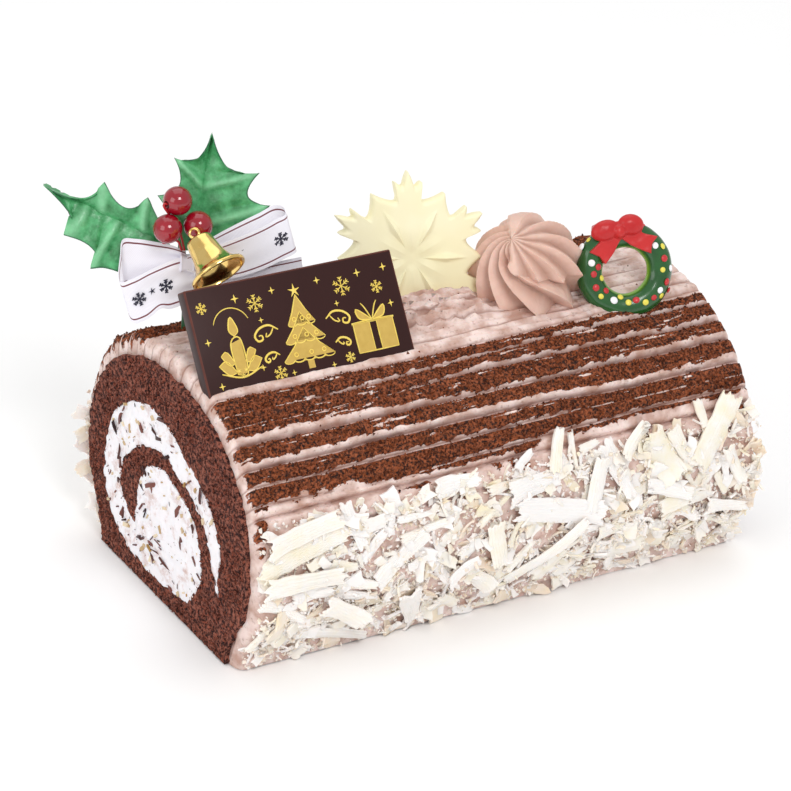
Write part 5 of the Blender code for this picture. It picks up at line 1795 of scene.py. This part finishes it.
# Each row: place along the log, distance round the coat from its front foot, length, width, turn
FRONT_SHAVINGS = (
    (-68.3, 45.1, 22.5, 5.0, 9.0), (-68.3, 39.6, 26.0, 6.2, 12.0), (-68.5, 32.4, 24.0, 5.0, -4.0),
    (-52.6, 43.7, 13.0, 3.8, -71.0), (-38.5, 31.5, 19.0, 5.6, 35.0), (-31.5, 12.5, 18.0, 6.6, -68.0),
    (-55.0, 8.2, 23.0, 4.0, -18.0), (-55.0, 20.0, 17.5, 5.4, -33.0), (-21.1, 47.8, 13.0, 5.6, 0.0),
    (-19.0, 23.5, 10.0, 4.6, 25.0), (-9.2, 29.2, 13.5, 5.2, -76.0), (2.7, 42.3, 16.0, 6.6, 5.0),
    (10.5, 33.6, 29.0, 6.4, -14.0), (8.6, 20.7, 26.0, 5.8, 42.0), (10.5, 50.0, 11.0, 3.6, 80.0),
    (22.7, 38.3, 15.0, 4.8, 75.0), (29.5, 41.0, 17.5, 5.4, -64.0), (35.7, 47.7, 11.0, 3.8, 42.0),
    (45.8, 41.6, 14.5, 9.4, -62.0), (47.0, 32.4, 15.0, 4.4, -20.0), (30.0, 22.8, 12.0, 4.6, -10.0),
    (64.0, 45.0, 21.5, 7.0, 52.0), (53.0, 42.5, 13.0, 4.4, -64.0), (67.0, 22.5, 14.0, 5.4, -15.0),
    (70.0, 34.5, 11.5, 4.0, -65.0), (-12.0, 17.0, 13.0, 5.4, -40.0),
)
BACK_SHAVINGS = 8
CLEAN_TINT = 0.78  # above this a piece is smeared with cream
SHAVING_THICK = 0.8
SHAVING_LAYER = 1.2


def back_rows(rng):
    """A sparser scatter on the back, spread evenly along it."""
    made = []
    for i in range(BACK_SHAVINGS):
        x = COAT_LEFT + (i + 0.5) * (COAT_RIGHT - COAT_LEFT) / BACK_SHAVINGS
        height = rng.uniform(14, 38)
        made.append((x, run_at(height, -1), rng.uniform(13, 20), rng.uniform(4, 7), rng.uniform(-60, 60)))
    return made


def shaving(number, row, side, look, rng):
    """A long shaving scraped from a block: fine lines along it, broken ends, and a bend away from the cream."""
    x, run, length, width, turn = row
    steps = (34, 22)
    shape, shares = unit_grid(*steps)
    along, across = shares[:, 0] - 0.5, shares[:, 1] - 0.5
    spots = np.column_stack([along * length, across * width, np.zeros(len(along))])
    seed = 100 + number
    ragged = rough(spots * (0, 1, 1), 1.3, seed, 3)
    ends = 1 + (0.16 * ragged - 0.02) * np.abs(along) * 2
    sides = 0.5 * width * (1 + 0.16 * rough(spots * (1, 0, 1), 4.5, seed + 40, 3))
    taper = 1 - rng.uniform(0.0, 0.45) * (along + 0.5)
    lines = 0.075 * np.sin(across * width * 7.5 + 0.6 * ragged) + 0.05 * ragged
    curl = rng.uniform(0.5, 1.6) * (along**2 * 4) ** 1.2
    rock = rng.uniform(-0.9, 1.2) * along * 2
    arched = rng.uniform(0.2, 0.9) * (1 - (2 * across) ** 2)
    out = 1.0 + SHAVING_LAYER * rng.choice((0, 0, 1)) + curl + rock + arched + lines
    out = out * (1.0 if side < 0 else 0.6)
    angle = math.radians(turn)
    a = along * length * ends
    b = 2 * across * sides * taper
    at_x = x + a * math.cos(angle) - b * math.sin(angle)
    at_run = run + a * math.sin(angle) + b * math.cos(angle)
    at_run = at_run if side < 0 else OUTSIDE_LENGTH - at_run
    points = on_coat(at_x, np.clip(at_run, 0.5, OUTSIDE_LENGTH - 0.5), np.maximum(out, 0.4))
    move_to(shape, points)
    layer = shape.verts.layers.float.new("tint")
    tint = CLEAN_TINT * rng.random()
    for vert in shape.verts:
        vert[layer] = tint
    bmesh.ops.recalc_face_normals(shape, faces=shape.faces)
    thickened(shape, SHAVING_THICK * rng.uniform(0.6, 0.9))
    finished(f"shaving_curl_{number:02d}", shape, [look], [f"shaving_{number:02d}"], None, 38)


MORE_PLATES = (
    (-46.7, 42.8, 6.5, 4.0, 10), (-41.7, 41.5, 6.0, 2.5, 80), (-34.7, 42.0, 10.0, 2.2, 0), (-47.0, 36.5, 10.0, 2.8, 50),
    (-56.0, 36.6, 10.0, 1.8, 12), (-56.0, 33.0, 8.0, 4.0, -15), (-51.0, 33.5, 4.5, 1.4, -70), (-32.0, 37.5, 14.0, 3.0, 10),
    (-65.0, 27.2, 12.0, 4.5, 0), (-74.0, 24.5, 17.0, 4.0, -34), (-52.0, 27.0, 13.0, 3.5, -12), (-50.0, 22.6, 11.0, 3.0, -15),
    (-62.0, 14.8, 15.0, 4.5, 5), (-43.0, 13.5, 5.0, 4.0, 0), (-74.0, 20.0, 7.0, 3.0, -40), (-72.0, 12.0, 8.0, 3.0, 25),
    (-9.0, 38.6, 13.0, 2.2, 33), (-6.0, 44.0, 11.0, 3.0, 5), (-16.0, 29.0, 10.0, 4.5, 40), (-26.0, 24.6, 11.0, 4.0, -55),
    (16.1, 48.9, 10.5, 1.8, -85), (21.4, 49.0, 6.5, 3.0, 15), (-3.0, 30.0, 8.0, 2.2, 70), (-6.4, 19.0, 10.0, 5.0, -70),
    (12.0, 14.5, 12.0, 6.0, 60), (0.0, 22.0, 11.0, 2.5, 55), (20.0, 23.4, 11.0, 2.0, -58), (21.0, 15.0, 8.0, 4.0, -45),
    (18.0, 8.0, 12.0, 5.0, -20), (-19.0, 9.0, 10.0, 4.0, -40), (-6.0, 9.5, 7.0, 5.0, 80), (24.0, 25.5, 9.0, 3.0, -10),
    (37.0, 33.5, 9.0, 2.8, 15), (50.0, 27.0, 9.5, 4.6, 10), (37.5, 28.5, 8.0, 2.4, -75), (55.0, 22.5, 13.0, 5.0, -35),
    (73.3, 11.4, 18.0, 3.6, -52), (59.0, 27.0, 8.0, 3.0, 0), (73.0, 28.2, 6.0, 3.0, 45), (37.0, 13.0, 11.0, 6.0, 10),
    (47.5, 12.0, 9.0, 6.0, -20), (57.0, 10.5, 7.0, 6.0, 60), (27.8, 15.5, 11.0, 3.4, -57), (48.5, 25.0, 8.0, 4.0, -55),
    (65.8, 29.5, 7.0, 2.4, -65), (43.0, 18.0, 8.0, 2.5, -40), (65.0, 12.0, 9.0, 3.0, -55), (-78.0, 33.0, 9.0, 4.0, -60),
    (-77.0, 14.0, 10.0, 3.4, 60), (60.5, 50.5, 8.0, 3.0, -80), (0.5, 49.5, 7.0, 3.0, 35), (-62.5, 41.0, 7.0, 2.4, -30),
)


# Plates that stick out past the left cut end at the back
EDGE_PLATES = (
    (-79.0, 33.5, 9.0, 5.0, 15), (-78.8, 28.5, 8.5, 4.4, -25), (-79.2, 24.0, 8.0, 4.8, 40),
    (-79.2, 18.5, 9.0, 4.4, -10), (-78.6, 13.5, 8.0, 4.0, 60),
)


def more_plates(look):
    """The middling plates between the long shavings, laid a little under them."""
    rng = random.Random(52)
    places, tints = [], []
    behind = [(x, OUTSIDE_LENGTH - run, length, width, turn) for x, run, length, width, turn in EDGE_PLATES]
    for x, run, length, width, turn in (*MORE_PLATES, *behind):
        frame = wall_frame(x, run, rng.uniform(0.5, 1.3)) @ Matrix.Rotation(math.radians(turn), 4, "Z")
        lean = Matrix.Rotation(math.radians(rng.uniform(-7, 7)), 4, "Y")
        roll = Matrix.Rotation(math.radians(rng.uniform(-12, 12)), 4, "X")
        places.append(frame @ lean @ roll @ Matrix.Diagonal((length, width, length, 1)))
        tints.append(CLEAN_TINT * rng.random())
    plates = [scraped_template(rng, rng.uniform(-0.1, 0.35)) for _ in range(10)]
    repeated("front_plates", plates, places, tints, [look], 38)


def scraped_template(rng, bend):
    """A thin plate, one unit long and wide, with scraped lines along it and broken ends."""
    shape, shares = unit_grid(18, 14)
    along, across = shares[:, 0] - 0.5, shares[:, 1] - 0.5
    seed = rng.randrange(100, 900)
    ragged = rough(np.column_stack([0 * along, across, 0 * along]), 0.2, seed, 3)
    sides = 1 + 0.22 * rough(np.column_stack([along, np.sign(across), 0 * along]), 0.3, seed + 1, 3)
    taper = 1 - rng.uniform(0.0, 0.5) * (along + 0.5)
    lines = 0.006 * np.sin(across * 34) + 0.006 * ragged
    lift = bend * (along**2 - 0.1) + 0.04 * (1 - 4 * across**2) + lines
    ends = 1 + (0.22 * ragged - 0.03) * np.abs(along) * 2
    move_to(shape, np.column_stack([along * ends, across * sides * taper, lift]))
    bmesh.ops.recalc_face_normals(shape, faces=shape.faces)
    thickened(shape, 0.06)
    return shape


def all_shavings(look):
    rng = random.Random(24)
    rows = [(row, -1) for row in FRONT_SHAVINGS] + [(row, 1) for row in back_rows(rng)]
    for number, (row, side) in enumerate(rows, 1):
        shaving(number, row, side, look, rng)


def white_material():
    """White chocolate: ivory and waxy, with the scraper's fine lines. Some of it is smeared with the pink cream."""
    made, tree, shader, spot = new_material("white chocolate", 0.42)
    shader.inputs["Subsurface Weight"].default_value = 0.35
    shader.inputs["Subsurface Radius"].default_value = (1.0, 0.8, 0.7)
    shader.inputs["Subsurface Scale"].default_value = 1.5 * MM
    tint = add(tree, "ShaderNodeAttribute", attribute_name="tint").outputs["Fac"]
    cloud = add(tree, "ShaderNodeTexNoise", {"Vector": spot, "Scale": per_mm(4), "Detail": 4.0})
    both = add(tree, "ShaderNodeMath", {0: tint, 1: cloud.outputs["Fac"]}, operation="MULTIPLY")
    shade = add(tree, "ShaderNodeMapRange", {"Value": both.outputs[0], "From Min": 0.12, "From Max": 0.6})
    colour = add(tree, "ShaderNodeMix", {
        0: shade.outputs[0], 6: linear("#fdf6f2"), 7: linear("#f7e8c4"),
    }, data_type="RGBA")
    smeared = add(tree, "ShaderNodeMapRange", {
        "Value": tint, "From Min": CLEAN_TINT, "From Max": 0.9, "To Min": 0.0, "To Max": 0.45,
    })
    coated = add(tree, "ShaderNodeMix", {
        0: smeared.outputs[0], 6: colour.outputs[2], 7: linear("#e8cbc0"),
    }, data_type="RGBA")
    tree.links.new(coated.outputs[2], shader.inputs["Base Color"])
    scraped = add(tree, "ShaderNodeTexNoise", {"Vector": spot, "Scale": per_mm(0.9), "Detail": 4.0})
    bump = add(tree, "ShaderNodeBump", {"Height": scraped.outputs["Fac"], "Strength": 0.5, "Distance": 0.18 * MM})
    tree.links.new(bump.outputs[0], shader.inputs["Normal"])
    return made


def shaving_scatter(look):
    """The smaller shards, slivers and crumbs pressed into the cream, thick on the front and thin behind."""
    for name, side, amounts in (("front", -1, (540, 360, 3600)), ("back", 1, (420, 240, 2400))):
        rng = random.Random(70 + side)
        shards, slivers, crumbs = [], [], []
        for _ in range(amounts[0]):
            x = rng.uniform(COAT_LEFT + 1.2, COAT_RIGHT + 0.5)
            frame = wall_frame(x, shaving_run(rng, side), rng.uniform(0.1, 1.5))
            length = 3.0 + 7.0 * rng.random() ** 1.4
            shards.append(tumbled(frame, rng, length, 180, 24))
        for _ in range(amounts[1]):
            x = rng.uniform(COAT_LEFT + 0.8, COAT_RIGHT + 0.8)
            frame = wall_frame(x, shaving_run(rng, side), rng.uniform(0.1, 1.6))
            length = 1.6 + 4.0 * rng.random() ** 1.4
            slivers.append(tumbled(frame, rng, length, 180, 40))
        for _ in range(amounts[2]):
            x = rng.uniform(COAT_LEFT + 0.4, COAT_RIGHT + 0.5)
            frame = wall_frame(x, shaving_run(rng, side), rng.uniform(0.0, 1.5))
            size = [0.3 + 1.3 * rng.random() ** 2.2 for _ in range(3)]
            crumbs.append(tumbled(frame, rng, size, 180, 90))
        plates = [shard_template(rng, rng.uniform(0.36, 0.75), 0.08, rng.uniform(-0.35, 0.6)) for _ in range(9)]
        needles = [shard_template(rng, rng.uniform(0.14, 0.28), 0.1, rng.uniform(-0.3, 0.5), (3, 1)) for _ in range(6)]
        lumps = [crumb_template(rng) for _ in range(6)]
        for kind, templates, places in (("shards", plates, shards), ("slivers", needles, slivers), ("crumbs", lumps, crumbs)):
            tints = [rng.random() for _ in places]
            repeated(f"{name}_{kind}", templates, places, tints, [look])


# ---------------------------------------------------------------- cocoa, crumbs and what is in the filling


def powder_material(name, dark, light, roughness=0.95):
    """Dry crumbs or powder: matt, each grain a little lighter or darker than the next."""
    made, tree, shader, _ = new_material(name, roughness)
    shader.inputs["Specular IOR Level"].default_value = 0.2
    tint = add(tree, "ShaderNodeAttribute", attribute_name="tint").outputs["Fac"]
    colour = add(tree, "ShaderNodeMix", {0: tint, 6: linear(dark), 7: linear(light)}, data_type="RGBA")
    tree.links.new(colour.outputs[2], shader.inputs["Base Color"])
    return made


def cocoa_grains(look):
    """Sifted cocoa: single grains stand up from the dusted ridges."""
    rng = np.random.default_rng(5)
    count = 60000
    x = rng.uniform(COAT_LEFT + 2, COAT_RIGHT - 2, count)
    run = rng.uniform(run_at(42, -1), run_at(42, 1), count)
    outer = on_coat(x, run, 0 * x)
    groove = comb_lines(x, run, outer[:, 1], outer[:, 2])
    share = cocoa_share(x, run, outer[:, 1], outer[:, 2])
    kept = rng.random(count) < share * 0.85 + 0.003 * (outer[:, 2] > 50)
    x, run, groove, outer = x[kept], run[kept], groove[kept], outer[kept]
    relief = cream_relief(x, run, outer[:, 1], groove)
    spots = on_coat(x, run, relief + 0.06)
    draw = random.Random(6)
    places = []
    for spot in spots:
        size = 0.3 + 0.6 * draw.random() ** 2
        places.append(np.array(tumbled(Matrix.Translation(spot), draw, size, 180, 180)))
    tints = [draw.random() for _ in places]
    repeated("cocoa_grains", [grain_template(draw) for _ in range(4)], places, tints, [look])


def end_frame(y, z, side, out=0.0):
    """A frame on a cut end, with its Z pointing out of the roll."""
    if side < 0:
        turn = Matrix(((0, 0, -1), (-1, 0, 0), (0, 1, 0)))
        return Matrix.Translation((SPONGE_LEFT - out, y, z)) @ turn.to_4x4()
    turn = Matrix(((0, 0, 1), (1, 0, 0), (0, 1, 0)))
    x = SPONGE_RIGHT - RIGHT_END_LEAN * z / SPONGE_HEIGHT + out
    return Matrix.Translation((x, y, z)) @ turn.to_4x4()


def random_spots(loop, count, rng, hole=None):
    """Random places inside a loop, and outside a hole in it."""
    low, high = loop.min(0), loop.max(0)
    spots = low + rng.random((count * 3, 2)) * (high - low)
    kept = inside(spots, loop)
    if hole is not None:
        kept &= ~inside(spots, hole)
    return spots[kept][:count]


def end_crumbs(look):
    """Loose crumbs stand up from the cut sponge."""
    rng = np.random.default_rng(8)
    draw = random.Random(9)
    spiral = spiral_loop()
    places = []
    for side in (-1, 1):
        for y, z in random_spots(ragged_loop(roll_loop(), 0.4, 3.0, 0.1, 13), 5200, rng, spiral):
            size = 0.35 + 0.6 * draw.random() ** 2
            places.append(tumbled(end_frame(y, z, side, draw.uniform(-0.25, 0.1)), draw, size, 180, 180))
    tints = [draw.random() for _ in places]
    repeated("sponge_crumbs", [grain_template(draw) for _ in range(5)], places, tints, [look])


def filling_bits(dark_look, tan_look):
    """Chopped chocolate and caramelised nut in the cream, laid mostly along the roll's turn."""
    rng = np.random.default_rng(18)
    draw = random.Random(19)
    spiral = ragged_loop(spiral_loop(), 0.5, 3.0, 0.1, 14)
    dark, tan = [], []
    for side in (-1, 1):
        for number, (y, z) in enumerate(random_spots(spiral, 230, rng)):
            around = math.degrees(math.atan2(-y, z - EYE_HEIGHT)) * (1 if side < 0 else -1)
            frame = end_frame(y, z, side, draw.uniform(-0.02, 0.3))
            frame = frame @ Matrix.Rotation(math.radians(around + draw.gauss(0, 28)), 4, "Z")
            if number % 4:
                length = 0.7 + 5.5 * draw.random() ** 3.5
                dark.append(tumbled(frame, draw, length, 4, 22))
            else:
                length = 0.7 + 2.0 * draw.random() ** 2
                tan.append(tumbled(frame, draw, (length, length * draw.uniform(0.3, 0.7), 0.7), 60, 15))
    slivers = [shard_template(draw, draw.uniform(0.08, 0.24), 0.09, draw.uniform(-0.3, 0.4), (4, 1)) for _ in range(6)]
    repeated("filling_slivers", slivers, dark, [draw.random() for _ in dark], [dark_look])
    lumps = [crumb_template(draw) for _ in range(6)]
    repeated("filling_nuts", lumps, tan, [draw.random() for _ in tan], [tan_look])


# ---------------------------------------------------------------- the whole cake


def make_roll():
    coat_cream(cream_material())
    cut_ends(sponge_material(), filling_material())
    end_crumbs(powder_material("sponge crumbs", "#2b110d", "#9a5644"))
    filling_bits(
        powder_material("chopped dark chocolate", "#2a1517", "#7a4a42", 0.45),
        powder_material("caramelised nut", "#a9813f", "#ecdcc0", 0.5),
    )
    cocoa_grains(powder_material("sifted cocoa", "#351408", "#8e4c2c"))


def make_toppings():
    rng = random.Random(44)
    plaque_block(
        chocolate_material("dark chocolate", "#2a0c0a", "#34130f", 0.36),
        chocolate_material("worn chocolate edge", "#42201a", "#6b3427", 0.5, 3.0, 0.1),
    )
    plaque_print(
        plain_material("gold cocoa butter", "#bf9b43", "#d2b158", 0.5, 1.5),
        plain_material("bright gold cocoa butter", "#eac544", "#f8e27a", 0.42, 1.5),
    )
    snowflake_moulded(chocolate_material("moulded white chocolate", "#f4eab8", "#fdf8dc", 0.4, 16.0))
    rosette_piped(rosette_material())
    wreath_moulded(green_material())
    bow_moulded(chocolate_material("red chocolate", "#b01c22", "#d33a38", 0.3, 5.0, 0.06))
    for name, spots, radius, colour, paler in (
        ("wreath_dots_white", WHITE_DOTS, 1.05, "#f2f4fa", "#ffffff"),
        ("wreath_dots_red", RED_DOTS, 1.0, "#b51f28", "#d53a3c"),
        ("wreath_dots_yellow", YELLOW_DOTS, 0.85, "#e0cf3c", "#f2ea6a"),
    ):
        sugar_dots(name, spots, radius, plain_material(name + " chocolate", colour, paler, 0.3), rng)


def rosette_material():
    """Milk chocolate whipped cream, piped: smooth and soft, with tiny air bubbles, and painted shade in the hollows
    between its ridges.
    """
    made, tree, shader, spot = new_material("piped milk chocolate cream", 0.55)
    shader.inputs["Subsurface Weight"].default_value = 0.2
    shader.inputs["Subsurface Radius"].default_value = (0.8, 0.35, 0.2)
    shader.inputs["Subsurface Scale"].default_value = 2 * MM
    cloud = add(tree, "ShaderNodeTexNoise", {"Vector": spot, "Scale": per_mm(6), "Detail": 4.0})
    colour = add(tree, "ShaderNodeMix", {
        0: cloud.outputs["Fac"], 6: linear("#d8ae9c"), 7: linear("#eccdbf"),
    }, data_type="RGBA")
    # painted shade: the cream is darkened towards brown in the hollows between the ridges
    crease_shade = add(tree, "ShaderNodeAttribute", attribute_name="crease_shade").outputs["Fac"]
    shaded = add(tree, "ShaderNodeMix", {0: crease_shade, 6: colour.outputs[2], 7: linear("#9c6b57")}, data_type="RGBA")
    tree.links.new(shaded.outputs[2], shader.inputs["Base Color"])
    bubbles = add(tree, "ShaderNodeTexNoise", {"Vector": spot, "Scale": per_mm(0.8), "Detail": 4.0})
    bump = add(tree, "ShaderNodeBump", {"Height": bubbles.outputs["Fac"], "Strength": 0.5, "Distance": 0.15 * MM})
    tree.links.new(bump.outputs[0], shader.inputs["Normal"])
    return made


def make_pick():
    leaf = leaf_material()
    holly_leaf("holly_leaf_left", "leaf_left", LEAF_LEFT, leaf, 0.9, -1.2, 61)
    holly_leaf("holly_leaf_right", "leaf_right", LEAF_RIGHT, leaf, 0.9, -0.8, 62)
    bead = berry_material()
    for number, (spot, hole) in enumerate(zip(BERRIES, BERRY_HOLES), 1):
        berry_bead(number, spot, hole, bead)
    berry_wires(plain_material("red coated wire", "#a31a22", "#c93038", 0.35))
    bell_pieces(gold_material())
    ribbon_bow(ribbon_material(), plain_material("dark ribbon ink", "#1b1a2c", "#2a2a40", 0.6))
    green = plain_material("moulded green plastic", "#17492a", "#23623a", 0.4)
    frame["nodes"]["pick_stake"].data.materials.clear()
    frame["nodes"]["pick_stake"].data.materials.append(green)


make_roll()
make_toppings()
make_pick()
chocolate = white_material()
all_shavings(chocolate)
more_plates(chocolate)
shaving_scatter(chocolate)
make_camera()
make_studio()
